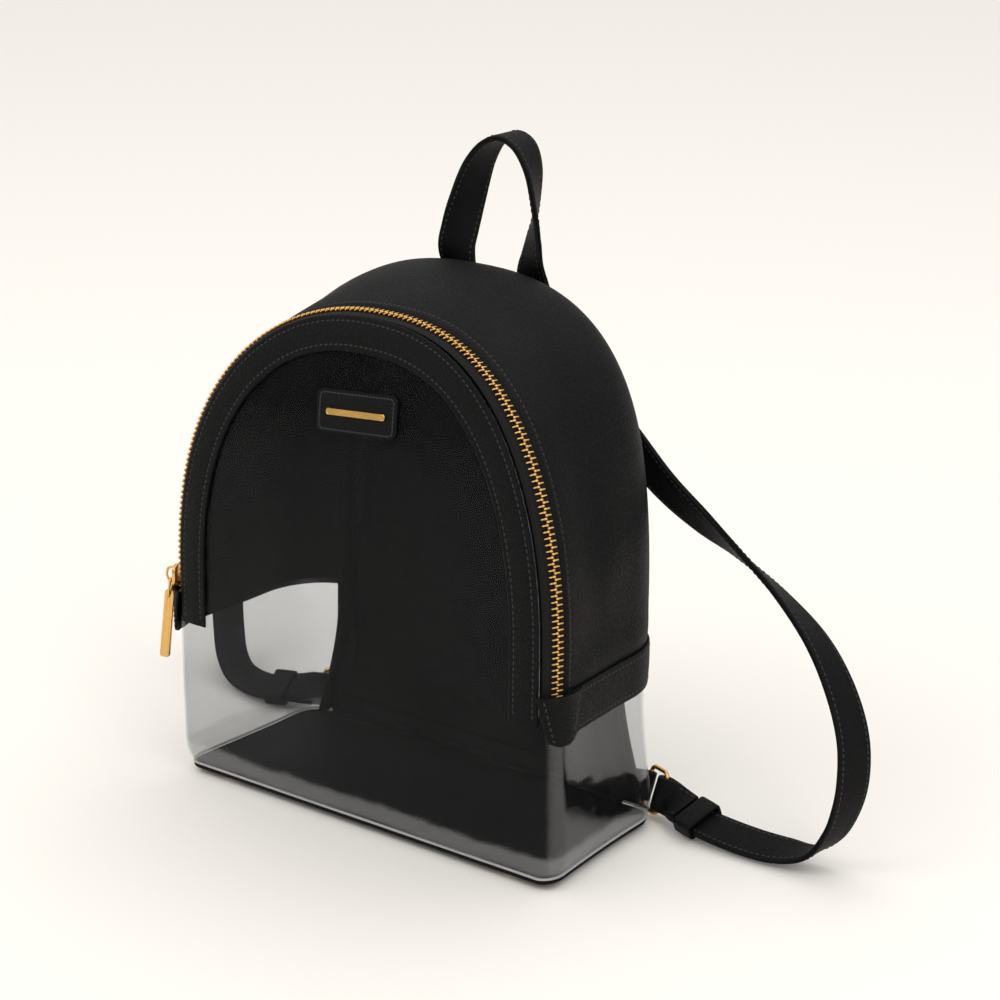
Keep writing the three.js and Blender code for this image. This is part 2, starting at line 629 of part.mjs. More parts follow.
// Routes of the straps from the ring to the back panel, as shares of the bag's half width, depth and
// height, with the way the strap's width points.
const STRAP_ROUTE = {
  right: [
    { across: 1.52, behind: 0.952, up: 0.005, wide: [0.05, 0.9, 0.4] },
    { across: 1.67, behind: 0.965, up: 0.006, wide: [0.0, 0.92, 0.3] },
    { across: 1.8, behind: 0.995, up: 0.015, wide: [-0.15, 0.95, -0.1] },
    { across: 1.885, behind: 1.03, up: 0.054, wide: [0.0, 0.86, -0.45] },
    { across: 1.935, behind: 1.048, up: 0.112, wide: [0.3, 0.87, -0.3] },
    { across: 1.951, behind: 1.061, up: 0.168, wide: [0.45, 0.87, -0.1] },
    { across: 1.93, behind: 1.084, up: 0.238, wide: [0.42, 0.88, 0.0] },
    { across: 1.854, behind: 1.107, up: 0.315, wide: [0.3, 0.92, 0.0] },
    { across: 1.716, behind: 1.134, up: 0.395, wide: [0.08, 0.95, -0.1] },
    { across: 1.511, behind: 1.162, up: 0.464, wide: [-0.2, 0.92, -0.3] },
    { across: 1.277, behind: 1.176, up: 0.523, wide: [-0.55, 0.72, -0.42] },
    { across: 1.097, behind: 1.165, up: 0.568, wide: [-0.55, 0.4, -0.7] },
    { across: 0.9, behind: 1.16, up: 0.622, wide: [-0.58, 0.15, -0.78] },
  ],
  left: [
    { across: 1.52, behind: 1.02, up: 0.008, wide: [0.2, 0.92, 0.3] },
    { across: 1.661, behind: 1.11, up: 0.027, wide: [0.4, 0.9, 0.12] },
    { across: 1.777, behind: 1.226, up: 0.063, wide: [0.55, 0.82, 0.1] },
    { across: 1.835, behind: 1.29, up: 0.108, wide: [0.65, 0.75, 0.05] },
    { across: 1.868, behind: 1.345, up: 0.174, wide: [0.7, 0.72, 0.0] },
    { across: 1.835, behind: 1.39, up: 0.279, wide: [0.7, 0.7, -0.05] },
    { across: 1.694, behind: 1.409, up: 0.39, wide: [0.68, 0.66, -0.3] },
    { across: 1.421, behind: 1.38, up: 0.488, wide: [0.62, 0.5, -0.6] },
    { across: 1.116, behind: 1.308, up: 0.585, wide: [0.58, 0.3, -0.75] },
    { across: 0.851, behind: 1.208, up: 0.68, wide: [0.56, 0.12, -0.8] },
  ],
};
// The upper end lies flat on the back panel.
const STRAP_SEAT = [
  { across: 0.64, up: 0.73, off: 2.6 },
  { across: 0.46, up: 0.79, off: 1.2 },
  { across: 0.28, up: 0.855, off: 0.9 },
];

function shoulderStrap(frame, word, side) {
  const radius = turnRadius(STRAP.wall);
  const lapped = radius - STRAP.wall - 2 * GAP; // the folded end lies on the strap
  const fold = (share) => barAt + STRAP_FOLD * share;
  const at = (a, t) => ({ middle: frame.place(a, t), wide: frame.wideAt(a) });
  const end = [
    at(fold(1), -lapped),
    at(fold(0.75), -lapped),
    at(fold(0.5), -lapped),
    at(fold(0.25), 0.2 * radius),
    ...uTurn(frame, barAt, STRAP.wall, 0).reverse(),
    at(fold(0.25), -radius),
    at(fold(0.5), -radius),
    at(fold(0.75), -radius),
    at(fold(1), -radius),
    at(barAt + KEEPER.at + KEEPER.length / 2, -radius),
    at(barAt + KEEPER.at + KEEPER.length + 2, -radius),
  ];
  const route = STRAP_ROUTE[word].map((row) => ({
    middle: vec(side * row.across * FRONT.halfWidth, row.behind * DEPTH, row.up * BACK.height),
    wide: vec(...row.wide),
  }));
  const seat = STRAP_SEAT.map((row) => {
    const z = row.up * BACK.height;
    return {
      middle: vec(side * row.across * FRONT.halfWidth, backY(z) + STRAP.wall / 2 + row.off, z),
      wide: vec(-side * 0.6, -0.09, -0.8),
    };
  });
  return outward(ribbon([...end, ...route, ...seat], STRAP.width, STRAP.wall, 84));
}

// A rounded rectangle of wire; place turns a length along it, a height off it and a width into a point.
function wireLoop(place, halfLong, halfWide, wire) {
  const corner = 2 * wire;
  const sides = 6;
  const quarters = [[1, 1], [-1, 1], [-1, -1], [1, -1]];
  const shape = quarters.flatMap(([a, w], q) => steps(2).map((t) => {
    const turn = ((q + t) * Math.PI) / 2;
    return [
      a * (halfLong - corner) + corner * Math.cos(turn),
      w * (halfWide - corner) + corner * Math.sin(turn),
    ];
  }));
  const count = shape.length;
  const points = [];
  const faces = [];
  shape.forEach(([a, w], i) => {
    const before = shape[(i + count - 1) % count];
    const after = shape[(i + 1) % count];
    const length = Math.hypot(after[0] - before[0], after[1] - before[1]);
    const normal = [(after[1] - before[1]) / length, (before[0] - after[0]) / length];
    for (let k = 0; k < sides; k++) {
      const turn = (2 * Math.PI * k) / sides;
      const o = wire * Math.cos(turn);
      points.push(place(a + normal[0] * o, wire * Math.sin(turn), w + normal[1] * o));
      const next = ((i + 1) % count) * sides;
      const [p, q] = [i * sides + k, i * sides + ((k + 1) % sides)];
      const [r, t] = [next + ((k + 1) % sides), next + k];
      faces.push([p, r, q], [p, t, r]);
    }
  });
  return outward(solid(points, faces));
}

const strapRing = (frame) =>
  wireLoop(frame.place, barAt, STRAP.width / 2 + RING.beside + RING.wire, RING.wire);

// Leather tab that holds the ring: from the foot of the back panel round the ring's inner bar and back
function ringTab(frame, side) {
  const seatX = frame.place(-barAt, 0).x - side * RING_TAB.seat;
  const height = frame.place(-barAt, 0).z + 1;
  const seated = (layer, inwards) => ({
    middle: vec(
      seatX - side * inwards,
      backY(height) + RING_TAB.off + RING_TAB.wall / 2 + layer * (RING_TAB.wall + 2 * GAP),
      height,
    ),
    wide: vec(0, 0.1, 1),
  });
  const turned = uTurn(frame, -barAt, RING_TAB.wall, RING_TAB.tilt).reverse();
  const path = [seated(0, RING_TAB.seat), seated(0, 0), ...turned, seated(1, 0), seated(1, RING_TAB.seat)];
  return outward(ribbon(path, RING_TAB.width, RING_TAB.wall, 22));
}

// Loop round the strap, with room for its folded end
function keeper(frame) {
  const middle = -turnRadius(STRAP.wall);
  const inner = {
    half: STRAP.width / 2 + 2 * GAP,
    low: middle - STRAP.wall / 2 - 2 * GAP,
    high: middle + STRAP.wall / 2 + KEEPER.room,
  };
  const outer = {
    half: inner.half + KEEPER.wall,
    low: inner.low - KEEPER.wall,
    high: inner.high + KEEPER.wall,
  };
  const corners = (box, a) => [[-1, 'low'], [1, 'low'], [1, 'high'], [-1, 'high']]
    .map(([w, t]) => frame.place(a, box[t], w * box.half));
  const from = barAt + KEEPER.at;
  const to = from + KEEPER.length;
  const points = [
    ...corners(outer, from), ...corners(outer, to),
    ...corners(inner, from), ...corners(inner, to),
  ];
  const faces = [];
  for (let k = 0; k < 4; k++) {
    const n = (k + 1) % 4;
    faces.push([k, n, 4 + n], [k, 4 + n, 4 + k]);
    faces.push([8 + k, 12 + n, 8 + n], [8 + k, 12 + k, 12 + n]);
    faces.push([k, 8 + n, n], [k, 8 + k, 8 + n]);
    faces.push([4 + k, 4 + n, 12 + n], [4 + k, 12 + n, 12 + k]);
  }
  return outward(solid(points, faces));
}

for (const [word, side] of [['left', -1], ['right', 1]]) {
  const frame = ringFrame(side);
  add(`shoulder_strap_${word}`, shoulderStrap(frame, word, side), leather);
  add(`strap_ring_${word}`, strapRing(frame), gold);
  add(`ring_tab_${word}`, ringTab(frame, side), leather);
  add(`strap_keeper_${word}`, keeper(frame), leather);
}

// Zip slider at the left end of the chain: a body on the teeth with a bail, a link through the bail and
// a long pull on the link. Slider frame: out of the bag, across the chain, up.
const sliderShare = -shareAt(END_TAB.top + SLIDER.aboveTab + SLIDER.length / 2);
const sliderSpot = surface(sliderShare, CHAIN.at);
const sliderOut = surfaceNormal(sliderShare, CHAIN.at).setZ(0).normalize();
const sliderUp = vec(0, 0, 1);
const sliderAcross = sliderUp.clone().cross(sliderOut);
const sliderBase = CHAIN.height * 0.6 + 2 * GAP;
const sliderPlace = (out, across, up) => sliderSpot.clone().addScaledVector(sliderOut, out)
  .addScaledVector(sliderAcross, across).addScaledVector(sliderUp, up);

function zipSlider() {
  const half = SLIDER.length / 2;
  const outline = new THREE.Shape([
    [-SLIDER.foot / 2, -half], [SLIDER.foot / 2, -half], [SLIDER.top / 2, half * 0.4],
    [SLIDER.top / 3, half], [-SLIDER.top / 3, half], [-SLIDER.top / 2, half * 0.4],
  ].map(([a, u]) => new THREE.Vector2(a, u)));
  const body = new THREE.ExtrudeGeometry(outline, { depth: SLIDER.height, bevelEnabled: false });
  body.applyMatrix4(new THREE.Matrix4().makeBasis(sliderAcross, sliderUp, sliderOut)
    .setPosition(sliderPlace(sliderBase, 0, 0)));
  const foot = sliderBase + SLIDER.height - BAIL.wire;
  const arch = steps(6).map((t) => {
    const turn = Math.PI * t;
    const rise = (BAIL.rise + BAIL.wire) * Math.sin(turn) ** 0.6;
    return sliderPlace(foot + rise, 0, (BAIL.long / 2) * Math.cos(turn));
  });
  const bail = roundBar(arch, BAIL.wire, 14, 6);
  return fromManifold(toManifold(body).add(toManifold(bail)));
}

// The link hangs in the bail's lower bend and leans out over the end tab, with the pull under it.
const lean = THREE.MathUtils.degToRad(PULL.hang);
const hinge = {
  out: sliderBase + SLIDER.height + BAIL.rise - 2 * BAIL.wire - LINK.wire - GAP,
  up: -BAIL.long / 2 + BAIL.wire + LINK.wire + 2 * GAP,
};
const hangPlace = (along, off, across) => sliderPlace(
  hinge.out - along * Math.sin(lean) + off * Math.cos(lean), across,
  hinge.up + along * Math.cos(lean) + off * Math.sin(lean),
);

function zipPull() {
  const round = PULL.width / 2;
  const long = PULL.length - round;
  const outline = new THREE.Shape([
    [round, -0.4 * round], [round, 0.4 * round], [0.6 * round, round],
    [-long + 1, round], [-long, round - 1], [-long, 1 - round], [-long + 1, -round], [0.6 * round, -round],
  ].map(([a, u]) => new THREE.Vector2(a, u)));
  const eye = new THREE.Path().absarc(0, 0, PULL.eye, 0, 2 * Math.PI, true);
  outline.holes.push(eye);
  const bar = new THREE.ExtrudeGeometry(outline, { depth: PULL.wall, bevelEnabled: false, curveSegments: 8 });
  const origin = hangPlace(-LINK.long, 0, 0);
  const along = hangPlace(1 - LINK.long, 0, 0).sub(origin);
  const off = hangPlace(-LINK.long, 1, 0).sub(origin);
  return bar.applyMatrix4(new THREE.Matrix4().makeBasis(along, off, sliderAcross)
    .setPosition(hangPlace(-LINK.long, 0, -PULL.wall / 2)));
}
add('zip_slider', zipSlider(), gold);
add('zip_pull_link', wireLoop(
  (a, t, w) => hangPlace(a - LINK.long / 2, t, w), LINK.long / 2, LINK.wide / 2, LINK.wire,
), gold);
add('zip_pull', zipPull(), gold);

// The part's origin goes under the middle of the whole, at the studs' feet.
const whole = new THREE.Box3().setFromObject(bag);
const shift = whole.getCenter(vec(0, 0, 0)).setZ(whole.min.z).negate();
for (const mesh of bag.children) mesh.geometry.translate(shift.x, shift.y, shift.z);

export default bag;
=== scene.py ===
"""A small clear backpack with black leather trim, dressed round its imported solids.

Every surface is a function of two parameters, worked out as whole numpy arrays in the bag's own frame:
millimetres, x to the right seen from the front, y from the front seam to the back, z up from the base.
"""

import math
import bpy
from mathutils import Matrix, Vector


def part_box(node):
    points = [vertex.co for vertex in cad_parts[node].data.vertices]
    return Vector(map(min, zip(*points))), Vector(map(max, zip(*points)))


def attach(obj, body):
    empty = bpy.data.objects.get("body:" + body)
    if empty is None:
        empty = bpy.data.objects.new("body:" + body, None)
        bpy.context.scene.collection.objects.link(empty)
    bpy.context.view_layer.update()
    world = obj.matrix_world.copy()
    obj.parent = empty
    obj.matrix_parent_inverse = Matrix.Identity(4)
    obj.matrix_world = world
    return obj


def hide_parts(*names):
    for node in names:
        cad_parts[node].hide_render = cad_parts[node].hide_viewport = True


bl_info = {
    "name": "Clear Backpack",
    "version": (1, 0, 0),
    "blender": (4, 5, 0),
    "location": "3D View > Sidebar > Backpack",
    "description": "Builds a clear backpack's visible surfaces round its solids",
    "category": "Add Mesh",
}

import bpy
import numpy as np
from bpy.props import FloatProperty, FloatVectorProperty, PointerProperty
from mathutils import Vector

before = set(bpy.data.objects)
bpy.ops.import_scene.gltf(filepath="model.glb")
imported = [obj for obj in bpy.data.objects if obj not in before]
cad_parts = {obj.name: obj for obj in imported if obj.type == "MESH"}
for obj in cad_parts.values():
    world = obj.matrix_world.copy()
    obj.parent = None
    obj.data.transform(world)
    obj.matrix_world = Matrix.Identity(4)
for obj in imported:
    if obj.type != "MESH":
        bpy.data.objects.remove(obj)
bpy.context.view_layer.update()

MM = 0.001
GAP = 0.3
BASE_LOW, BASE_HIGH = (np.array(corner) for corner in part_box("base_panel"))
# The bag's frame in the row's: middle of the base, front seam, wall foot.
ORIGIN = np.array([(BASE_LOW[0] + BASE_HIGH[0]) / 2, BASE_LOW[1], BASE_HIGH[2] + GAP * MM])


def length(name, default, text):
    """A size that a user can change."""
    return FloatProperty(name=name, description=text + ", in millimetres", default=default, min=0.0)


def colour(name, default, text):
    """A colour that a user can change."""
    return FloatVectorProperty(name=name, description=text, default=default, subtype="COLOR", size=3,
                               min=0, max=1)


class BagForm(bpy.types.PropertyGroup):
    """Sizes of the bag's body, in millimetres."""

    front_half: length("Front half width", 121.0, "Half the width of the front arch")
    front_height: length("Front height", 272.5, "Height of the front arch")
    front_full: FloatProperty(name="Front fullness", description="Exponent of the front arch", default=2.29)
    front_lean: length("Front lean", 21.7, "How far the front's top sits behind its foot")
    back_foot: length("Back half foot", 125.7, "Half the width of the back at its foot")
    back_half: length("Back half width", 126.5, "Half the width of the back arch")
    back_height: length("Back height", 287.0, "Height of the back arch")
    back_full: FloatProperty(name="Back fullness", description="Exponent of the back arch", default=2.52)
    back_lean: length("Back lean", 18.7, "How far the back's top sits behind its foot")
    spring: length("Spring", 118.0, "Height where the sides turn into the arch")
    depth: length("Depth", 109.3, "Front seam to back panel at the foot")
    dome: length("Dome", 3.0, "Bulge of the window")
    foot_curl: length("Foot curl", 5.5, "How far the clear sheet curls under at the foot")
    foot_rise: length("Foot rise", 17.0, "Height where the clear sheet starts to curl under")


class BagTrim(bpy.types.PropertyGroup):
    """Sizes of the trim, in millimetres."""

    band: length("Arch band", 16.5, "Width of the leather band round the window")
    stitch_pitch: length("Stitch pitch", 3.3, "Distance from stitch to stitch")
    stitch_long: length("Stitch length", 2.3, "Length of one stitch")
    tooth_pitch: length("Tooth pitch", 3.2, "Distance from tooth to tooth on one side of the zip")
    chain: length("Chain", 6.7, "Width of the closed zip teeth")
    strap: length("Strap width", 19.0, "Width of the shoulder straps")
    strap_wall: length("Strap wall", 3.0, "Thickness of the shoulder straps")
    handle: length("Hand loop width", 20.5, "Width of the hand loop")


class BagLooks(bpy.types.PropertyGroup):
    """Colours of the bag."""

    leather: colour("Leather", (0.0026, 0.0026, 0.0029), "Colour of the leather")
    lining: colour("Lining", (0.002, 0.002, 0.0022), "Colour of the lining")
    thread: colour("Thread", (0.0065, 0.0065, 0.007), "Colour of the stitches")
    tape: colour("Zip tape", (0.007, 0.007, 0.0075), "Colour of the zip's tape")
    gold: colour("Gold", (0.8, 0.48, 0.15), "Colour of the metal parts")
    clear: colour("Clear sheet", (0.875, 0.88, 0.885), "What the clear sheet lets through")
    ground: colour("Floor", (0.925, 0.9, 0.86), "Colour of the floor and backdrop")


def form():
    """The sizes of the bag's body."""
    return bpy.context.scene.bag_form


def trim():
    """The sizes of the trim."""
    return bpy.context.scene.bag_trim


def looks():
    """The colours of the bag."""
    return bpy.context.scene.bag_looks


# Form of the bag

# Share of a side's line that lies below the spring.
SPRING_SHARE = 0.35
# Radii of the roll behind the front seam and of the back corner, and how far the corner turns in.
ROLL_SIDE, ROLL_TOP, ROLL_DEPTH = 8.5, 1.5, 12.6
CORNER_SIDE, CORNER_TOP, CORNER_FOOT, CORNER_INSET = 37.5, 30.3, 16.0, 0.85
FOOT_BLEND = 70.0
# Distances back from the front seam: middle of the teeth, and rear edge of the rear tape.
TEETH_AT = 9.7
REAR_TAPE = 14.6
# Walls.
LEATHER = 1.6
BACK_WALL = 2.4
SHEET_WALL = 0.9
LINING_WALL = 0.6
# Heights above the base where the pieces of the arch start, in millimetres.
BAND_FOOT, ZIP_FOOT, GUSSET_FOOT, LINING_FOOT = 87, 99, 91.5, 84
SIDE_LOW, SIDE_HIGH, SKIRT_TOP, TAB_TOP = 80, 102.5, 91.0, 104.0
# Soft dents: share along, share of depth, reach along, reach back, depth in millimetres.
DENTS = np.array([
    (0.30, 0.50, 0.14, 0.30, 3.2), (0.52, 0.40, 0.12, 0.25, 2.4), (-0.40, 0.55, 0.16, 0.30, 3.2),
    (0.42, 0.72, 0.05, 0.35, 1.4), (0.16, 0.60, 0.06, 0.30, 1.2), (0.58, 0.70, 0.04, 0.30, -1.2),
    (-0.22, 0.45, 0.06, 0.30, 1.2),
])


def mix(a, b, t):
    """Goes from a to b in a straight line as t goes from 0 to 1."""
    return a + (b - a) * t


def smooth(low, high, v):
    """Goes from 0 at low to 1 at high as 3t^2 - 2t^3."""
    t = np.clip((v - low) / (high - low), 0, 1)
    return t * t * (3 - 2 * t)


def unit(v):
    """Vectors brought to length 1."""
    return v / np.maximum(np.linalg.norm(v, axis=-1, keepdims=True), 1e-9)


def run_along(points, axis=0):
    """Length run along the points in one direction, from 0."""
    steps = np.linalg.norm(np.diff(points, axis=axis), axis=-1)
    return np.concatenate([np.zeros_like(np.take(steps, [0], axis)), steps.cumsum(axis)], axis)


def full_turn(count):
    """Evenly spaced angles of one full turn."""
    return np.linspace(0, 2 * math.pi, count, endpoint=False)


def outline(which, s):
    """x and z of the front or back outline at share s, from -1 at the left foot over 0 at the top to 1.

    Below the spring the side rises straight, and above it the arch is a superellipse: its x goes as the
    cosine and its z as the sine of the angle, each to the power 2 / fullness.
    """
    f = form()
    if which == "front":
        foot, half, height, full = f.front_half, f.front_half, f.front_height, f.front_full
    else:
        foot, half, height, full = f.back_foot, f.back_half, f.back_height, f.back_full
    side = np.where(s < 0, -1.0, 1.0)
    climb = 1 - np.abs(s)
    t = np.clip(climb / SPRING_SHARE, 0, 1)
    angle = np.clip((climb - SPRING_SHARE) / (1 - SPRING_SHARE), 0, 1) * math.pi / 2
    straight = climb <= SPRING_SHARE
    arch = half * np.cos(angle).clip(0, 1) ** (2 / full)
    x = np.where(straight, mix(foot, half, np.sin(t * math.pi / 2)), arch)
    z = np.where(straight, f.spring * t, f.spring + (height - f.spring) * np.sin(angle) ** (2 / full))
    return side * x, z


def outline_normal(which, s):
    """Outward direction of the outline, from two points close by."""
    x0, z0 = outline(which, np.maximum(s - 0.004, -1))
    x1, z1 = outline(which, np.minimum(s + 0.004, 1))
    size = np.hypot(x1 - x0, z1 - z0)
    return -(z1 - z0) / size, (x1 - x0) / size


def share_at(height):
    """Share of the right side at a height below the spring."""
    return 1 - SPRING_SHARE * height / form().spring


def front_y(x, z):
    """Depth of the front face: it leans back as the fourth power of the height, and bulges forward as
    one parabola across times one parabola up."""
    f = form()
    up = np.clip(z / f.front_height, 0, 1)
    across = np.clip(x / f.front_half, -1, 1)
    return f.front_lean * up ** 4 - f.dome * (1 - across ** 2) * 4 * up * (1 - up)


def back_y(z):
    """Depth of the back, which leans back as the square of the height."""
    f = form()
    return f.depth + f.back_lean * np.clip(z / f.back_height, 0, 1) ** 2


def side_lines(s):
    """Lines over the bag's side, one per share, as points and run lengths: a quarter ellipse for the front
    roll, a swelling straight stretch with soft dents, and a quarter ellipse round the back corner."""
    s = np.asarray(s, float)[:, None]
    fx, fz = outline("front", s)
    bx, bz = outline("back", s)
    nx, nz = outline_normal("front", s)
    mx, mz = outline_normal("back", s)
    up = np.maximum(nz, 0)
    low = np.clip(1 - fz / FOOT_BLEND, 0, 1) ** 1.5
    out = mix(ROLL_SIDE, ROLL_TOP, up ** 2)
    corner = mix(CORNER_SIDE, CORNER_TOP, up ** 1.5) + (CORNER_FOOT - CORNER_SIDE) * low
    start = front_y(fx, fz)
    turn = np.linspace(0, math.pi / 2, 25)[None, :]
    o = out * np.sin(turn)
    roll = np.stack([fx + nx * o, start + ROLL_DEPTH * (1 - np.cos(turn)), fz + nz * o], -1)
    edge = roll[:, -1:, :]
    t = np.linspace(0, 1, 25)[None, 1:]
    swell = np.sin(t * math.pi / 2)
    along, back, reach_s, reach_b, deep = (DENTS[:, i].reshape(-1, 1, 1) for i in range(5))
    dents = (deep * np.exp(-((s[None] - along) / reach_s) ** 2 - ((t[None] - back) / reach_b) ** 2)).sum(0)
    dent = dents * (1 - low) * np.sin(t * math.pi) * smooth(84, 125, fz)
    corner_y = back_y(bz) - corner
    straight = np.stack([
        mix(edge[..., 0], bx, swell) - nx * dent,
        mix(edge[..., 1], corner_y, t),
        mix(edge[..., 2], bz, swell) - nz * dent,
    ], -1)
    turn = np.linspace(0, math.pi / 2, 25)[None, 1:]
    inset = corner * CORNER_INSET * (1 - np.cos(turn))
    rear = np.stack([bx - mx * inset, corner_y + corner * np.sin(turn), bz - mz * inset], -1)
    points = np.concatenate([roll, straight, rear], 1)
    return points, run_along(points, 1)


def side_length(s):
    """Whole run of the side lines at these shares."""
    return side_lines(np.atleast_1d(s))[1][:, -1]


def surface(s, d):
    """Points of the bag's outer side at shares s and distances d back from the front seam, row by row."""
    s = np.asarray(s, float)
    d = np.broadcast_to(np.asarray(d, float), (len(s), np.shape(d)[-1]))
    points, run = side_lines(s)
    d = np.clip(d, 0, run[:, -1:])
    after = np.clip((run[:, None, :] < d[:, :, None]).sum(-1), 1, run.shape[1] - 1)
    r0 = np.take_along_axis(run, after - 1, 1)
    r1 = np.take_along_axis(run, after, 1)
    t = ((d - r0) / np.maximum(r1 - r0, 1e-9))[..., None]
    p0 = np.take_along_axis(points, (after - 1)[..., None], 1)
    p1 = np.take_along_axis(points, after[..., None], 1)
    return mix(p0, p1, t)


def front_edge(s, inset):
    """Points of the front face at shares s and insets from the front seam (rows by columns)."""
    s = np.asarray(s, float)[:, None]
    x, z = outline("front", s)
    nx, nz = outline_normal("front", s)
    inset = np.broadcast_to(np.asarray(inset, float), (len(s), np.shape(inset)[-1]))
    x, z = x - nx * inset, z - nz * inset
    return np.stack([x, front_y(x, z), z], -1)


def curl(points):
    """Curls points in at the foot: the inset grows as a quarter circle from the foot rise down."""
    f = form()
    u = np.clip((f.foot_rise - points[..., 2]) / f.foot_rise, 0, 1)
    inset = f.foot_curl * (1 - np.sqrt(np.clip(1 - (0.97 * u) ** 2, 0, 1)))
    middle = np.array([0, f.depth / 2])
    half = np.array([f.front_half, f.depth / 2])
    flat = points[..., :2] - middle
    done = points.copy()
    done[..., :2] = middle + flat * (1 - inset[..., None] / half)
    return done


def normals(grid, flip=False):
    """Unit normals of a grid: the cross product of its two directions."""
    n = unit(np.cross(np.gradient(grid, axis=0), np.gradient(grid, axis=1)))
    return -n if flip else n


def even_shares(low, count, d=0.0):
    """Shares from the left side at height low over the top to the right side, evenly spaced along the
    line that stands d back from the front seam."""
    edge = share_at(low)
    fine = np.linspace(-edge, edge, 1200)
    line = surface(fine, [d])[:, 0] if d > 0 else front_edge(fine, [0.0])[:, 0]
    run = run_along(line)
    return np.interp(np.linspace(0, run[-1], count), run, fine)


# Meshes

def rings_faces(rings, ring, closed_u=False, closed_v=True, first=0):
    """Quads between neighbouring rings of equal length, as an array of vertex numbers."""
    u = np.arange(rings if closed_u else rings - 1)[:, None]
    v = np.arange(ring if closed_v else ring - 1)[None, :]
    u1, v1 = (u + 1) % rings, (v + 1) % ring
    quads = np.stack(np.broadcast_arrays(u * ring + v, u * ring + v1, u1 * ring + v1, u1 * ring + v), -1)
    return first + quads.reshape(-1, 4)


def piece(name, parts, finish, body="bag", replaces=(), smooth_angle=50):
    """Makes one object from parts, each (points, quads, caps, uv), and rides it on its body."""
    points, quads, caps, uvs, first = [], [], [], [], 0
    for verts, faces, ends, uv in parts:
        verts = verts.reshape(-1, 3)
        points.append(verts)
        quads.append(faces + first)
        caps += [np.asarray(end) + first for end in ends]
        uvs.append(np.zeros((len(verts), 2)) if uv is None else uv.reshape(-1, 2))
        first += len(verts)
    points, quads, uvs = np.concatenate(points), np.concatenate(quads), np.concatenate(uvs)
    loops = np.concatenate([quads.ravel(), *caps]).astype(np.int32)
    sizes = np.array([4] * len(quads) + [len(c) for c in caps], np.int32)
    mesh = bpy.data.meshes.new(name)
    mesh.vertices.add(len(points))
    mesh.vertices.foreach_set("co", (ORIGIN + points * MM).astype(np.float32).ravel())
    mesh.loops.add(len(loops))
    mesh.loops.foreach_set("vertex_index", loops)
    mesh.polygons.add(len(sizes))
    mesh.polygons.foreach_set("loop_start", np.concatenate([[0], sizes.cumsum()[:-1]]).astype(np.int32))
    layer = mesh.uv_layers.new(name="Surface")
    mesh.update(calc_edges=True)
    layer.data.foreach_set("uv", uvs[loops].astype(np.float32).ravel())
    mesh.validate()
    mesh.shade_smooth()
    mesh.set_sharp_from_angle(angle=math.radians(smooth_angle))
    obj = bpy.data.objects.new(name, mesh)
    bpy.context.scene.collection.objects.link(obj)
    mesh.materials.append(paint(finish))
    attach(obj, body)
    if replaces:
        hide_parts(*replaces)
    return obj


def thicken(obj, thick, offset):
    """Gives a sheet its wall."""
    wall = obj.modifiers.new("Wall", "SOLIDIFY")
    wall.thickness, wall.offset = thick * MM, offset


def grid_uv(grid):
    """UV of a grid in millimetres: run length along the first direction, then along the second."""
    return np.stack([run_along(grid), run_along(grid, 1)], -1)


def closed_loop(rings, uv=None, closed_u=False, outward=True):
    """A part from closed rings of points, with flat ends unless it closes on itself."""
    count, ring = rings.shape[:2]
    quads = rings_faces(count, ring, closed_u)
    ends = [] if closed_u else [np.arange(ring)[::-1], (count - 1) * ring + np.arange(ring)]
    if not outward:
        quads = quads[:, ::-1]
        ends = [e[::-1] for e in ends]
    return rings, quads, ends, uv


def wall_part(grid, lift, thick, normal, uv=None, nose=True):
    """A wall of even thickness on a grid: its outer side stands lift off the grid, and its long edges are
    half circles between the outer and the inner side."""
    outer = grid + normal * np.asarray(lift)[..., None] if np.ndim(lift) else grid + normal * lift
    inner = outer - normal * thick
    edge_out0 = unit(grid[:, :1] - grid[:, 1:2])
    edge_out1 = unit(grid[:, -1:] - grid[:, -2:-1])
    r = thick / 2
    turn = np.radians([60, 30, 0, -30, -60] if nose else [0])[None, :, None]
    def nose_arc(edge, out, n):
        middle = edge - n * r
        return middle + out * (r * 0.9 * np.cos(turn)) + n * (r * np.sin(turn))
    right = nose_arc(outer[:, -1:], edge_out1, normal[:, -1:])
    left = nose_arc(outer[:, :1], edge_out0, normal[:, :1])[:, ::-1]
    rings = np.concatenate([outer, right, inner[:, ::-1], left], 1)
    if uv is None:
        uv = grid_uv(grid)
    ring_uv = np.concatenate([uv, np.repeat(uv[:, -1:], right.shape[1], 1), uv[:, ::-1],
                              np.repeat(uv[:, :1], left.shape[1], 1)], 1)
    mid = rings.mean(1)
    area = np.cross(rings[len(rings) // 2] - mid[len(rings) // 2],
                    np.roll(rings[len(rings) // 2], -1, 0) - mid[len(rings) // 2]).sum(0)
    ahead = mid[min(len(rings) // 2 + 1, len(rings) - 1)] - mid[len(rings) // 2]
    return closed_loop(rings, ring_uv, outward=bool(np.dot(area, ahead) > 0))


def path_frames(points, wide, closed=False):
    """Tangent, width and up directions along a path, with the width made square to the path."""
    if closed:
        tangent = unit(np.roll(points, -1, 0) - np.roll(points, 1, 0))
    else:
        tangent = unit(np.gradient(points, axis=0))
    wide = unit(wide - tangent * (wide * tangent).sum(-1, keepdims=True))
    return tangent, wide, np.cross(tangent, wide)


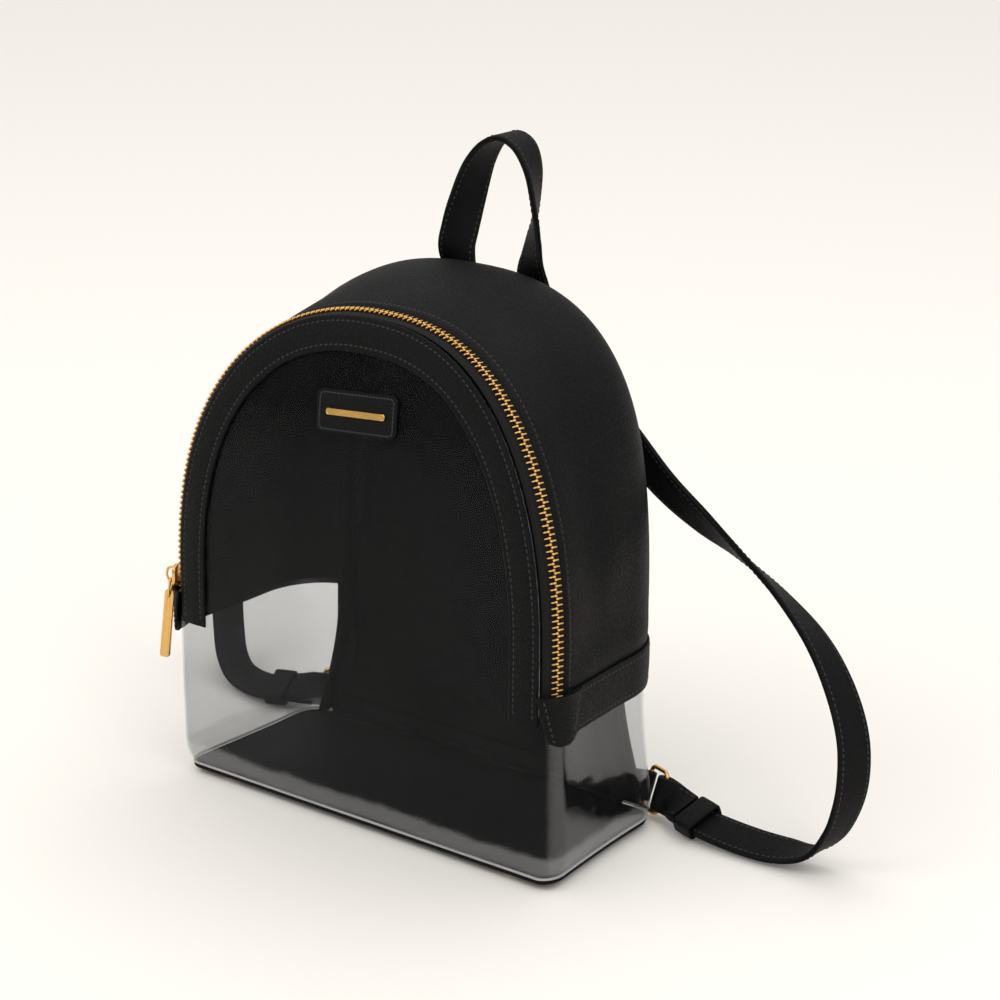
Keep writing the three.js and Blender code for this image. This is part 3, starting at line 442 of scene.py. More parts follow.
def carried(points, wide, profile, closed=False):
    """A profile of (width, height) points carried along a path, as a closed part."""
    tangent, across, up = path_frames(points, wide, closed)
    rings = points[:, None] + across[:, None] * profile[None, :, :1] + up[:, None] * profile[None, :, 1:]
    if closed:
        run = np.linalg.norm(points - np.roll(points, 1, 0), axis=1).cumsum()
    else:
        run = run_along(points)
    around = run_along(profile)
    uv = np.stack(np.broadcast_arrays(run[:, None], around[None, :]), -1)
    area = (profile[:, 0] * np.roll(profile[:, 1], -1) - np.roll(profile[:, 0], -1) * profile[:, 1]).sum()
    return closed_loop(rings, uv, closed, outward=bool(area > 0))


def circle(radius, count=12):
    """Points of a circle: cosine and sine of evenly spaced angles."""
    turn = full_turn(count)
    return radius * np.stack([np.cos(turn), np.sin(turn)], -1)


def spline(stations, count):
    """Smooth line through stations: between two of them a cubic whose slopes come from the neighbours,
    with knots spaced by the square root of the distance (as centripetal Catmull-Rom)."""
    p = np.asarray(stations, float)
    p = np.concatenate([2 * p[:1] - p[1:2], p, 2 * p[-1:] - p[-2:-1]])
    knots = np.sqrt(np.maximum(np.linalg.norm(np.diff(p[:, :3], axis=0), axis=1), 1e-6))
    spans = len(p) - 3
    at = np.linspace(0, spans, count)
    i = np.minimum(at.astype(int), spans - 1)
    t = (at - i)[:, None]
    k0, k1, k2 = (knots[i + j][:, None] for j in range(3))
    p0, p1, p2, p3 = (p[i + j] for j in range(4))
    m1 = (p1 - p0) / k0 - (p2 - p0) / (k0 + k1) + (p2 - p1) / k1
    m2 = (p2 - p1) / k1 - (p3 - p1) / (k1 + k2) + (p3 - p2) / k2
    m1, m2 = m1 * k1, m2 * k1
    return ((2 * t ** 3 - 3 * t ** 2 + 1) * p1 + (t ** 3 - 2 * t ** 2 + t) * m1
            + (-2 * t ** 3 + 3 * t ** 2) * p2 + (t ** 3 - t ** 2) * m2)


def resample(points, others, step):
    """Points every step along a line, and the other arrays at the same places."""
    run = run_along(points)
    count = max(int(run[-1] / step), 2)
    at = np.linspace(step / 2, run[-1] - step / 2, count)
    each = lambda array: np.stack([np.interp(at, run, array[:, k]) for k in range(3)], -1)
    return [each(array) for array in (points, *others)]


def blobs(centres, along, across, up, half, power=2.6, rings=7, sides=10):
    """Many rounded lumps at once: a superellipsoid of half sizes half at each centre, in its own frame."""
    lat = np.linspace(0.12, math.pi - 0.12, rings)[:, None]
    lon = full_turn(sides)[None, :]
    bend = lambda v: np.sign(v) * np.abs(v) ** (2 / power)
    local = np.stack(np.broadcast_arrays(bend(np.cos(lat)), bend(np.sin(lat)) * bend(np.cos(lon)),
                                         bend(np.sin(lat)) * bend(np.sin(lon))), -1).reshape(-1, 3) * half
    points = (centres[:, None] + along[:, None] * local[None, :, :1] + across[:, None] * local[None, :, 1:2]
              + up[:, None] * local[None, :, 2:])
    size = rings * sides
    one = rings_faces(rings, sides)[:, ::-1]
    starts = (np.arange(len(centres)) * size)[:, None, None]
    quads = (starts + one[None]).reshape(-1, 4)
    lid = np.concatenate([np.arange(sides)[None], (rings - 1) * sides + np.arange(sides)[::-1][None]])
    ends = [e for e in (starts + lid[None]).reshape(-1, sides)]
    return points, quads, ends, None


def stitches(line, normal, sink=0.12, pitch=None, width=0.5):
    """A row of stitches on a line: one slim lump per stitch, sunk a little into the leather."""
    t = trim()
    middle, up = resample(line, [normal], pitch or t.stitch_pitch)
    along = unit(np.gradient(middle, axis=0))
    up = unit(up - along * (up * along).sum(-1, keepdims=True))
    across = np.cross(up, along)
    tilt = unit(along + across * 0.08)
    return blobs(middle - up * sink, tilt, np.cross(up, tilt), up,
                 np.array([t.stitch_long / 2, width, width * 0.8]), 2.3, 5, 8)


# Materials

class Value:
    """A socket that carries a number: arithmetic on it adds Math nodes to its material."""

    def __init__(self, paint, socket):
        self.paint, self.socket = paint, socket

    def maths(self, operation, a, b):
        return self.paint.add("ShaderNodeMath", {"operation": operation}, {0: a, 1: b})

    def __add__(self, other):
        return self.maths("ADD", self, other)

    __radd__ = __add__

    def __sub__(self, other):
        return self.maths("SUBTRACT", self, other)

    def __rsub__(self, other):
        return self.maths("SUBTRACT", other, self)

    def __mul__(self, other):
        return self.maths("MULTIPLY", self, other)

    __rmul__ = __mul__

    def __pow__(self, other):
        return self.maths("POWER", self, other)

    def fraction(self):
        return self.maths("FRACT", self, 0.0)

    def sine(self):
        return self.maths("SINE", self, 0.0)

    def distance(self, other):
        return self.paint.add("ShaderNodeMath", {"operation": "ABSOLUTE"}, {0: self - other})

    def step(self, low, high, to_low=0.0, to_high=1.0):
        """Smooth step between two values."""
        return self.paint.add("ShaderNodeMapRange", {"interpolation_type": "SMOOTHSTEP"},
                              {"Value": self, "From Min": low, "From Max": high,
                               "To Min": to_low, "To Max": to_high})


class Paint:
    """The nodes of one material or of the world."""

    def __init__(self, name, kind=bpy.data.materials):
        self.material = kind.new(name)
        self.material.use_nodes = True
        self.nodes = self.material.node_tree.nodes
        self.links = self.material.node_tree.links
        self.nodes.clear()

    def add(self, kind, settings=None, sockets=None, output=0):
        """Adds a node: its settings first, then the values or links of its sockets."""
        node = self.nodes.new(kind)
        for key, value in (settings or {}).items():
            setattr(node, key, value)
        for key, value in (sockets or {}).items():
            if isinstance(key, int):
                socket = node.inputs[key]
            else:
                socket = next(i for i in node.inputs if i.enabled and key in (i.name, i.identifier))
            if isinstance(value, Value):
                self.links.new(value.socket, socket)
            elif isinstance(value, tuple) and len(value) == 3 and socket.type == "RGBA":
                socket.default_value = (*value, 1)
            else:
                socket.default_value = value
        live = [o for o in node.outputs if o.enabled]
        return Value(self, node.outputs[output] if isinstance(output, str) else live[output])

    def place(self, kind="Object"):
        return self.add("ShaderNodeTexCoord", output=kind)

    def part(self, vector, which):
        return self.add("ShaderNodeSeparateXYZ", None, {0: vector}, which)

    def uv(self):
        return self.add("ShaderNodeUVMap", {"uv_map": "Surface"})

    def noise(self, size, detail=3.0):
        return self.add("ShaderNodeTexNoise", None,
                        {"Vector": self.place(), "Scale": 1 / size, "Detail": detail, "Roughness": 0.55})

    def blend(self, share, a, b):
        return self.add("ShaderNodeMix", {"data_type": "RGBA"}, {0: share, "A_Color": a, "B_Color": b})

    def bump(self, height, distance, strength=1.0, under=None):
        sockets = {"Height": height, "Distance": distance, "Strength": strength}
        if under:
            sockets["Normal"] = under
        return self.add("ShaderNodeBump", None, sockets)

    def principled(self, **sockets):
        """The main shader, with its sockets named with underscores."""
        return self.add("ShaderNodeBsdfPrincipled", None,
                        {key.replace("_", " "): value for key, value in sockets.items()})

    def done(self, shader, output="ShaderNodeOutputMaterial"):
        node = self.nodes.new(output)
        self.links.new(shader.socket, node.inputs["Surface"])
        return self.material


def scaled(colour_value, share):
    """A colour made darker or lighter by a share."""
    return tuple(min(c * share, 1.0) for c in colour_value)


def leather(name, grain=1.15, depth=0.00022, shine=0.4):
    """Pebbled leather: rounded cells with fine creases between them, and a finer grain on top."""
    base = tuple(looks().leather)
    p = Paint(name)
    wander = p.add("ShaderNodeTexNoise", None, {"Vector": p.place(), "Scale": 420.0, "Detail": 2.0}, 1)
    warp = p.add("ShaderNodeVectorMath", {"operation": "MULTIPLY_ADD"},
                 {0: wander, 1: (0.0011, 0.0011, 0.0011), 2: p.place()})
    cells = p.add("ShaderNodeTexVoronoi", {"feature": "SMOOTH_F1"},
                  {"Vector": warp, "Scale": 1000 / grain, "Smoothness": 0.35})
    pebble = 1 - cells.step(0.1, 0.62)
    fine = p.noise(0.0004, 2.0)
    broad = p.noise(0.035, 3.0)
    relief = p.bump(pebble * 0.8 + fine * 0.35, depth)
    # Painted shade: the creases between the pebbles are painted darker and the pebble tops lighter,
    # following the relief; the broad noise adds the leather's own uneven tone.
    pebble_shaded_colour = p.blend(pebble * 0.6 + broad * 0.4, scaled(base, 0.55), scaled(base, 1.6))
    rough = shine + 0.16 * broad + 0.14 * (1 - pebble)
    return p.done(p.principled(Base_Color=pebble_shaded_colour, Roughness=rough, Normal=relief,
                               Specular_IOR_Level=0.13))


def lining_cloth(name):
    """Dull lining with a fine plain weave, followed along the surface."""
    base = tuple(looks().lining)
    p = Paint(name)
    u, v = p.part(p.uv(), "X"), p.part(p.uv(), "Y")
    weave = (u * 7.0).sine() * (v * 7.0).sine()
    broad = p.noise(0.03, 4.0)
    return p.done(p.principled(
        Base_Color=p.blend(broad, scaled(base, 0.7), scaled(base, 1.7)),
        Roughness=0.74 + 0.1 * broad,
        Normal=p.bump(weave * 0.1 + p.noise(0.03, 2.0) * 6.0, 0.0006), Specular_IOR_Level=0.08,
    ))


def tape_cloth(name):
    """Woven zip tape: slanted ribs that turn back and forth across the tape, as a herringbone."""
    base = tuple(looks().tape)
    p = Paint(name)
    u, v = p.part(p.uv(), "X"), p.part(p.uv(), "Y")
    fold = (v * 0.55).fraction().distance(0.5)
    rib = (u * 7.5 + fold * 9.0).sine()
    fleck = p.noise(0.0012, 2.0)
    return p.done(p.principled(
        Base_Color=p.blend(rib * 0.4 + 0.5 * fleck, scaled(base, 0.5), scaled(base, 3.2)),
        Roughness=0.7 + 0.1 * fleck, Normal=p.bump(rib, 0.0002), Specular_IOR_Level=0.25,
    ))


def thread_cord(name):
    """Thread with a fine fleck in its tone, gloss and relief."""
    base = tuple(looks().thread)
    p = Paint(name)
    fleck = p.noise(0.0006, 2.0)
    return p.done(p.principled(Base_Color=p.blend(fleck, scaled(base, 0.6), scaled(base, 1.8)),
                               Roughness=0.48 + 0.15 * fleck, Normal=p.bump(fleck, 0.0001)))


def gold_metal(name, rough=0.2):
    """Polished plated metal with faint wear: the gloss and the tone change a little over the surface."""
    base = tuple(looks().gold)
    p = Paint(name)
    wear = p.noise(0.006, 4.0)
    worn = p.blend(wear, scaled(base, 0.86), scaled(base, 1.06))
    return p.done(p.principled(Base_Color=worn, Metallic=1.0, Roughness=rough + 0.12 * wear,
                               Normal=p.bump(p.noise(0.0015, 2.0), 0.00003)))


def clear_film(name, milky=0.001, foot=True):
    """Clear sheet: it lets light through with a light grey tint and mirrors more at a flat angle, as
    0.004 + 0.6 facing^5. Near the foot it mirrors more, with a ragged upper edge, and it mirrors a
    little more on its two sides."""
    p = Paint(name)
    facing = p.add("ShaderNodeLayerWeight", None, {"Blend": 0.5}, "Facing")
    mirror = (facing ** 5.0) * 0.6 + 0.004
    haze = p.noise(0.05, 3.0)
    if foot:
        height = p.part(p.place(), "Z")
        ragged = height + p.noise(0.018, 3.0) * 0.006
        mirror = mirror + ragged.step(0.0245, 0.0195) * 0.085
        sideways = p.part(p.add("ShaderNodeNewGeometry", output="Normal"), "X")
        mirror = mirror + sideways.distance(0.0).step(0.55, 0.98) * 0.04
    gloss = p.principled(Base_Color=(0.95, 0.95, 0.96), Metallic=1.0, Roughness=0.07 + 0.06 * haze,
                         Normal=p.bump(p.noise(0.03, 2.0), 0.0012))
    body = p.add("ShaderNodeBsdfTransparent", None, {"Color": tuple(looks().clear)})
    dust = p.principled(Base_Color=(0.6, 0.6, 0.61), Roughness=0.4)
    veil = p.add("ShaderNodeMixShader", None, {0: haze * 0.006 + milky, 1: body, 2: dust})
    return p.done(p.add("ShaderNodeMixShader", None, {0: mirror, 1: veil, 2: gloss}))


def floor_paint(name):
    """Matt pale floor whose tone hardly changes."""
    base = tuple(looks().ground)
    p = Paint(name)
    broad = p.noise(0.6, 2.0)
    tone = p.blend(broad, scaled(base, 0.995), scaled(base, 1.005))
    return p.done(p.principled(Base_Color=tone, Roughness=0.6, Specular_IOR_Level=0.2))


def soft_daylight():
    """Light all round, brighter from above than from the sides; what is seen past the floor is pale."""
    p = Paint("soft_daylight", bpy.data.worlds)
    height = p.part(p.place("Generated"), "Z")
    seen = p.add("ShaderNodeLightPath", output="Is Camera Ray")
    strength = seen * 0.9 + (1 - seen) * height.step(0.0, 0.75, 0.38, 1.04)
    return p.done(p.add("ShaderNodeBackground", None, {"Color": (1.0, 0.985, 0.96), "Strength": strength}),
                  "ShaderNodeOutputWorld")


PAINTS = {
    "leather": lambda: leather("pebbled_leather"),
    "smooth_leather": lambda: leather("strap_leather", 0.85, 0.00014, 0.38),
    "lining": lambda: lining_cloth("black_lining"),
    "tape": lambda: tape_cloth("zip_tape"),
    "thread": lambda: thread_cord("black_thread"),
    "gold": lambda: gold_metal("gold_metal"),
    "teeth": lambda: gold_metal("tooth_metal", 0.26),
    "clear": lambda: clear_film("clear_sheet"),
    "welt": lambda: clear_film("clear_welt", 0.55, False),
    "floor": lambda: floor_paint("pale_floor"),
}
made = {}


def paint(key):
    """The material of a finish, made when it is first asked for."""
    if key not in made:
        made[key] = PAINTS[key]()
    return made[key]


# Pieces

# A point inside the bag, from which its outer side is told.
HEART = np.array([0.0, 60.0, 120.0])


def out_normals(grid):
    """Normals of a grid on the bag's outside, turned away from the bag's middle."""
    n = normals(grid)
    return -n if ((grid - HEART) * n).sum(-1).mean() < 0 else n


def side_row(shares, d):
    """A line on the bag's side at distances d from the front seam, with its normals."""
    d = np.broadcast_to(np.asarray(d, float), (len(shares),))[:, None]
    grid = surface(shares, d + np.array([-0.6, 0, 0.6]))
    return grid[:, 1], out_normals(grid)[:, 1]


def front_row(shares, inset):
    """A line on the front face at an inset from the front seam, with its normals turned forward."""
    grid = front_edge(shares, np.array([inset + 0.6, inset, inset - 0.6]))
    n = normals(grid)
    return grid[:, 1], np.where(n[:, 1, 1:2] > 0, -n[:, 1], n[:, 1])


def lifted(row, lift):
    """A row moved off its surface along its normals."""
    line, normal = row
    return line + normal * lift, normal


def strap_profile(width, wall, groove=0.28):
    """Section of a strap of two layers: flat faces, rounded corners and a groove along each edge."""
    w, h, r = width / 2, wall / 2, min(0.75, wall / 4)
    turn = np.linspace(0, math.pi / 2, 4)
    upper = np.stack([w - r + r * np.sin(turn), h - r + r * np.cos(turn)], -1)
    edge = np.array([[w, h * 0.25], [w - groove * 1.6, 0.0], [w, -h * 0.25]])
    right = np.concatenate([upper, edge, upper[::-1] * [1, -1]])
    flat = np.linspace(-(w - r), w - r, 7)[1:-1]
    crown = 0.12 * (1 - (flat / w) ** 2)
    low = np.stack([flat, -h - crown], -1)[::-1]
    top = np.stack([flat, h + crown], -1)
    return np.concatenate([right, low, right * [-1, -1], top])[::-1]


def strap_rows(points, wide, width, wall, inset=2.1):
    """Rows of stitches along both sides of a strap's faces."""
    tangent, across, up = path_frames(points, wide)
    rows = []
    for face in (1, -1):
        for side in (1, -1):
            line = points + across * side * (width / 2 - inset) + up * face * (wall / 2 + 0.1)
            rows.append(stitches(line, up * face))
    return rows


def share_range(low, step, d=0.0):
    """Shares over the arch, about step apart along the front seam."""
    probe = even_shares(low, 60, d)
    line = side_row(probe, d)[0]
    return even_shares(low, int(np.linalg.norm(np.diff(line, axis=0), axis=1).sum() / step), d)


class BagOperator:
    """What all the bag's operators share."""

    bl_options = {"REGISTER", "UNDO"}


class BACKPACK_OT_clear_sheet(BagOperator, bpy.types.Operator):
    """Clear window and skirt in one sheet, curled in at the foot"""

    bl_idname = "backpack.clear_sheet"
    bl_label = "Clear sheet"

    def execute(self, context):
        """Window: straight rows between the outline's two sides, on the domed front. Skirt: the side
        lines from the front seam to the back seam, up to the join under the side band."""
        low = share_at(np.concatenate([np.linspace(0, 20, 22), np.linspace(20, SKIRT_TOP, 20)[1:]]))
        rows = np.concatenate([low, np.linspace(low[-1], 0, 60)[1:-1], [0.012]])
        x, z = outline("front", rows)
        across = np.linspace(-1, 1, 71)
        bend = across + 0.12 * np.sin(across * math.pi)
        wx = x[:, None] * bend
        wz = np.broadcast_to(z[:, None], wx.shape)
        ripple = 0.35 * np.sin(wx / 17 + 1) * smooth(60, 10, wz) * (1 - np.abs(bend) ** 6)
        window = np.stack([wx, front_y(wx, wz) + ripple, wz], -1)
        skirt_at = np.linspace(0, 1, 61)[1:]
        length_of = side_length(low)
        right = surface(low, length_of[:, None] * skirt_at)
        wave = 0.5 * np.sin(right[..., 1] / 13 + right[..., 2] / 31) * np.sin(skirt_at * math.pi)
        right[..., 0] += wave * smooth(0, 25, right[..., 2]) * smooth(SKIRT_TOP, 70, right[..., 2])
        left = right * [-1, 1, 1]
        window, right, left = curl(window), curl(right), curl(left)
        points = np.concatenate([window.reshape(-1, 3), right.reshape(-1, 3), left.reshape(-1, 3)])
        r, c, k, n = len(rows), len(across), len(skirt_at), len(low)
        ids = np.arange(r * c).reshape(r, c)
        right_ids = np.concatenate([ids[:n, -1:], r * c + np.arange(n * k).reshape(n, k)], 1)
        left_ids = np.concatenate([ids[:n, :1], r * c + n * k + np.arange(n * k).reshape(n, k)], 1)
        quads = lambda g: np.stack([g[:-1, :-1], g[:-1, 1:], g[1:, 1:], g[1:, :-1]], -1).reshape(-1, 4)
        faces = np.concatenate([quads(ids), quads(right_ids), quads(left_ids)[:, ::-1]])
        lid = ids[-1]
        sheet = piece("clear_sheet", [(points, faces, [lid[::-1]], None)], "clear",
                      replaces=["clear_panel"], smooth_angle=80)
        thicken(sheet, SHEET_WALL, -1)
        return {"FINISHED"}


def foot_plan(inset, z):
    """The foot's outline seen from above, anticlockwise, pulled in by inset, at height z."""
    f = form()
    line = side_lines(np.array([1.0]))[0][0][::2]
    back = np.linspace(1, -1, 24)[1:-1, None] * [line[-1, 0], 0] + [0, line[-1, 1]]
    front = np.linspace(-1, 1, 24)[1:-1, None] * [line[0, 0], 0] + [0, line[0, 1]]
    plan = np.concatenate([line[:, :2], back, line[::-1, :2] * [-1, 1], front])
    middle = np.array([0, f.depth / 2])
    half = np.array([f.front_half, f.depth / 2])
    pulled = middle + (plan - middle) * (1 - inset / half)
    return np.concatenate([pulled, np.full((len(pulled), 1), z)], 1)


class BACKPACK_OT_base(BagOperator, bpy.types.Operator):
    """Base panel, its clear welt and the four foot studs"""

    bl_idname = "backpack.base"
    bl_label = "Base"

    def execute(self, context):
        """Base: the foot's plan at growing heights, its edge a half circle. Stud: a turned dome."""
        turn = np.linspace(-math.pi / 2, math.pi / 2, 9)
        rings = np.stack([foot_plan(3.9 - 1.0 * math.cos(a), -1.4 + 1.1 * math.sin(a)) for a in turn])
        piece("base", [closed_loop(rings, grid_uv(rings))], "leather",
              replaces=["base_panel"])
        welt = 0.75
        path = foot_plan(3.1, welt)
        wide = np.tile([0.0, 0.0, 1.0], (len(path), 1))
        piece("base_welt", [carried(path, wide, circle(welt, 8), True)], "welt")
        r, h, below = 5.5, 2.6, 2.8
        profile = np.array([[0.05, -h], [1.5, -h], [3.2, -h * 0.97], [4.4, -h * 0.86], [5.1, -h * 0.62],
                            [5.45, -h * 0.3], [r, -0.02], [0.05, 0.0]])
        lon = full_turn(32)
        for row, y in (("front", 12.0), ("back", form().depth - 18.0)):
            for word, side in (("left", -1), ("right", 1)):
                rings = np.stack([profile[:, :1] * np.cos(lon) + side * (form().front_half - 24.0),
                                  profile[:, :1] * np.sin(lon) + y,
                                  profile[:, 1:] + np.zeros(len(lon)) - below], -1)
                piece(f"stud_{row}_{word}", [closed_loop(rings)], "gold",
                      replaces=[f"foot_stud_{row}_{word}"])
        return {"FINISHED"}


class BACKPACK_OT_front_band(BagOperator, bpy.types.Operator):
    """Leather band round the window, stitched along both edges and across its ends"""

    bl_idname = "backpack.front_band"
    bl_label = "Front band"

    def execute(self, context):
        """Band: insets from the front seam at every share, with a low crown between the stitch rows."""
        width, row_in = trim().band, 2.4
        shares = share_range(BAND_FOOT, 1.6)
        inset = np.linspace(width, 0.2, 15)
        grid = front_edge(shares, inset)
        n = normals(grid)
        n = np.where(n[..., 1:2] > 0, -n, n)
        crown = 0.45 * np.exp(-((inset - width / 2) / 4.6) ** 2)
        pinch = sum(-0.22 * np.exp(-((inset - row) / 0.8) ** 2) for row in (row_in, width - row_in))
        lift = np.broadcast_to(1.75 + crown + pinch, grid.shape[:2])
        piece("arch_band", [wall_part(grid, lift, LEATHER, n)], "leather",
              replaces=["front_band"])
        rows = [stitches(*lifted(front_row(shares[2:-2], at), 1.68)) for at in (row_in, width - row_in)]
        for end in (2, -3):
            cut = shares[end] + np.zeros(12)
            insets = np.linspace(width - 3, 3, 12)
            line = np.stack([front_edge(cut[:1], [i])[0, 0] for i in insets])
            rows.append(stitches(line + [0, -1.72, 0], np.tile([0.0, -1.0, 0.0], (12, 1))))
        piece("arch_band_stitches", rows, "thread")
        return {"FINISHED"}


class BACKPACK_OT_zip(BagOperator, bpy.types.Operator):
    """Zip tapes and the chain of metal teeth"""

    bl_idname = "backpack.zip"
    bl_label = "Zip"

    def execute(self, context):
        """Tapes follow the side lines. Teeth: one rounded lump each, in turn from both sides, reaching
        past the middle line."""
        shares = share_range(ZIP_FOOT, 2.0, TEETH_AT)
        spans = {"front": (1.9, TEETH_AT - 0.15), "rear": (TEETH_AT + 0.15, REAR_TAPE)}
        for word, (start, end) in spans.items():
            d = np.linspace(start, end, 10)
            grid = surface(shares, d)
            lift = -0.35 - 0.35 * smooth(4.6, 3.4, np.abs(d - TEETH_AT))
            part = wall_part(grid, np.broadcast_to(lift, grid.shape[:2]), 0.6, out_normals(grid))
            piece(f"tape_{word}", [part], "tape", replaces=[f"zip_tape_{word}"])
        fine = share_range(ZIP_FOOT, 1.0, TEETH_AT)
        line, normal = side_row(fine, TEETH_AT)
        middle, up = resample(line, [normal], trim().tooth_pitch / 2)
        along = unit(np.gradient(middle, axis=0))
        across = np.cross(up, along)
        side = np.where(np.arange(len(middle)) % 2 == 0, 1.0, -1.0)[:, None]
        reach = trim().chain / 2
        stem = blobs(middle + across * side * (reach - 1.6) + up * 0.15, along, across, up,
                     np.array([0.4, 1.6, 0.8]), 3.6, 7, 12)
        head = blobs(middle + across * side * 0.4 + up * 0.3, along, across, up,
                     np.array([0.68, 0.85, 0.85]), 3.0, 7, 12)
        piece("teeth", [stem, head], "teeth", replaces=["zip_teeth"])
        return {"FINISHED"}


class BACKPACK_OT_gusset(BagOperator, bpy.types.Operator):
    """Leather gusset with its folded front edge, stitch row and dents, and the lining under it"""

    bl_idname = "backpack.gusset"
    bl_label = "Gusset"

    def execute(self, context):
        """Gusset: the side lines from the rear tape to the back seam. Its front edge is folded over, and
        it swells just above the side band."""
        shares = share_range(GUSSET_FOOT, 2.0, 30.0)
        t = np.concatenate([np.linspace(0, 0.07, 12), np.linspace(0.07, 1, 66)[1:]])
        start, fold_at, row_at = REAR_TAPE + GAP, 16.9, 19.6
        d = start + (side_length(shares) - 0.3 - start)[:, None] * t
        grid = surface(shares, d)
        n = out_normals(grid)
        fold = 0.7 * np.exp(-((d - fold_at) / 1.5) ** 2) - 0.25 * np.exp(-((d - row_at) / 0.7) ** 2)
        z = grid[..., 2]
        swell = 1.7 * np.exp(-((z - 111) / 8.5) ** 2) * smooth(100, 108, z) * smooth(19, 40, d)
        swell = swell * smooth(0.85, 0.5, t)
        soft = 0.5 * np.sin(z / 23 + d / 31) * np.sin(d / 17 + 1) * smooth(20, 45, d)
        part = wall_part(grid, fold + swell + soft, LEATHER, n, grid_uv(grid))
        piece("gusset_leather", [part], "leather", replaces=["gusset"])
        rows = [stitches(*lifted(side_row(shares[3:-3], row_at), -0.12))]
        back = side_length(shares[3:-3]) - 3.2
        rows.append(stitches(*lifted(side_row(shares[3:-3], back), 0.05)))
        piece("gusset_stitches", rows, "thread")
        shares = share_range(LINING_FOOT, 3.0, 30.0)
        start, short = 16.5, 7
        d = start + (side_length(shares) - short - start)[:, None] * np.linspace(0, 1, 44)
        grid = surface(shares, d)
        pucker = 0.3 * np.sin(grid[..., 2] / 9 + d / 7) * smooth(17, 30, d)
        part = wall_part(grid, -2.85 + pucker, 0.8, out_normals(grid), grid_uv(grid), False)
        piece("gusset_inside", [part], "lining", replaces=["gusset_lining"])
        return {"FINISHED"}


def band_over(side, low, high, start, short, count):
    """A strip round one side between two heights: rows go back, columns go up."""
    shares = side * share_at(np.linspace(low, high, 9))
    full = side_length(shares)[:, None] - short
    d = start + (full - start) * np.linspace(0, 1, count)
    return surface(shares, d).transpose(1, 0, 2)


class BACKPACK_OT_side_trim(BagOperator, bpy.types.Operator):
    """Side bands and the tabs over the zip's ends, with their stitches"""

    bl_idname = "backpack.side_trim"
    bl_label = "Side trim"

    def execute(self, context):
        """Bands and tabs are walls over the bag's side; a tab narrows down to a rounded end."""
        for word, side in (("left", -1), ("right", 1)):
            grid = band_over(side, SIDE_LOW, SIDE_HIGH, 13.5, 0.3, 70)
            n = out_normals(grid)
            puff = 1.8 + 0.35 * np.sin(np.linspace(0, math.pi, 9))
            part = wall_part(grid, np.broadcast_to(puff, grid.shape[:2]), LEATHER, n, grid_uv(grid))
            piece(f"side_strip_{word}", [part], "leather",
                  replaces=[f"side_band_{word}"])
            rows = [stitches(mix(grid[1:-1, a], grid[1:-1, b], 0.2) + n[1:-1, a] * 1.86, n[1:-1, a])
                    for a, b in ((1, 0), (7, 8))]
            piece(f"side_strip_stitches_{word}", rows, "thread")
            self.tab(word, side)
        return {"FINISHED"}

    def tab(self, word, side):
        """A wall whose half width narrows down in a straight line and ends in a half circle."""
        long, wide_top, wide_end = 27.0, 24.0, 14.0
        middle, round_end = 0.6 + wide_top / 2, wide_end / 2
        t = 1 - (1 - np.linspace(0, 1, 30)) ** 1.6
        from_end = long * (1 - t)
        taper = mix(wide_top, wide_end, t) / 2
        bend = np.sqrt(np.maximum(round_end ** 2 - (round_end - np.minimum(from_end, round_end)) ** 2, 0))
        half = np.where(from_end < round_end, np.minimum(taper, bend + 0.2 * round_end), taper)
        at = lambda u, h: surface(side * share_at(TAB_TOP - long * t), middle + h[:, None] * u)
        grid = at(np.linspace(-1, 1, 17), half)
        n = out_normals(grid)
        lift = 3.85 + 0.25 * np.cos(np.linspace(-1, 1, 17) * math.pi / 2)
        lift = lift[None, :] + 0.55 * np.exp(-(t[:, None] / 0.06) ** 2)
        part = wall_part(grid, lift, LEATHER, n, grid_uv(grid))
        piece(f"zip_tab_{word}", [part], "leather", replaces=[f"zip_end_tab_{word}"])
        inner = np.maximum(half - 2.2, 0.4)
        edge = at(np.array([-1.0, 1.0]), inner)
        keep = (from_end > 2.4) & (t > 0.05)
        loop = np.concatenate([edge[keep, 0], edge[keep, 1][::-1]])
        loop_n = np.concatenate([n[keep, 2], n[keep, -3][::-1]])
        piece(f"zip_tab_stitches_{word}", [stitches(loop + loop_n * 3.98, loop_n)], "thread")


def back_seam(shares):
    """Points of the back seam and their outward directions."""
    nx, nz = outline_normal("back", shares)
    return side_lines(shares)[0][:, -1], np.stack([nx, np.zeros_like(nx), nz], -1)


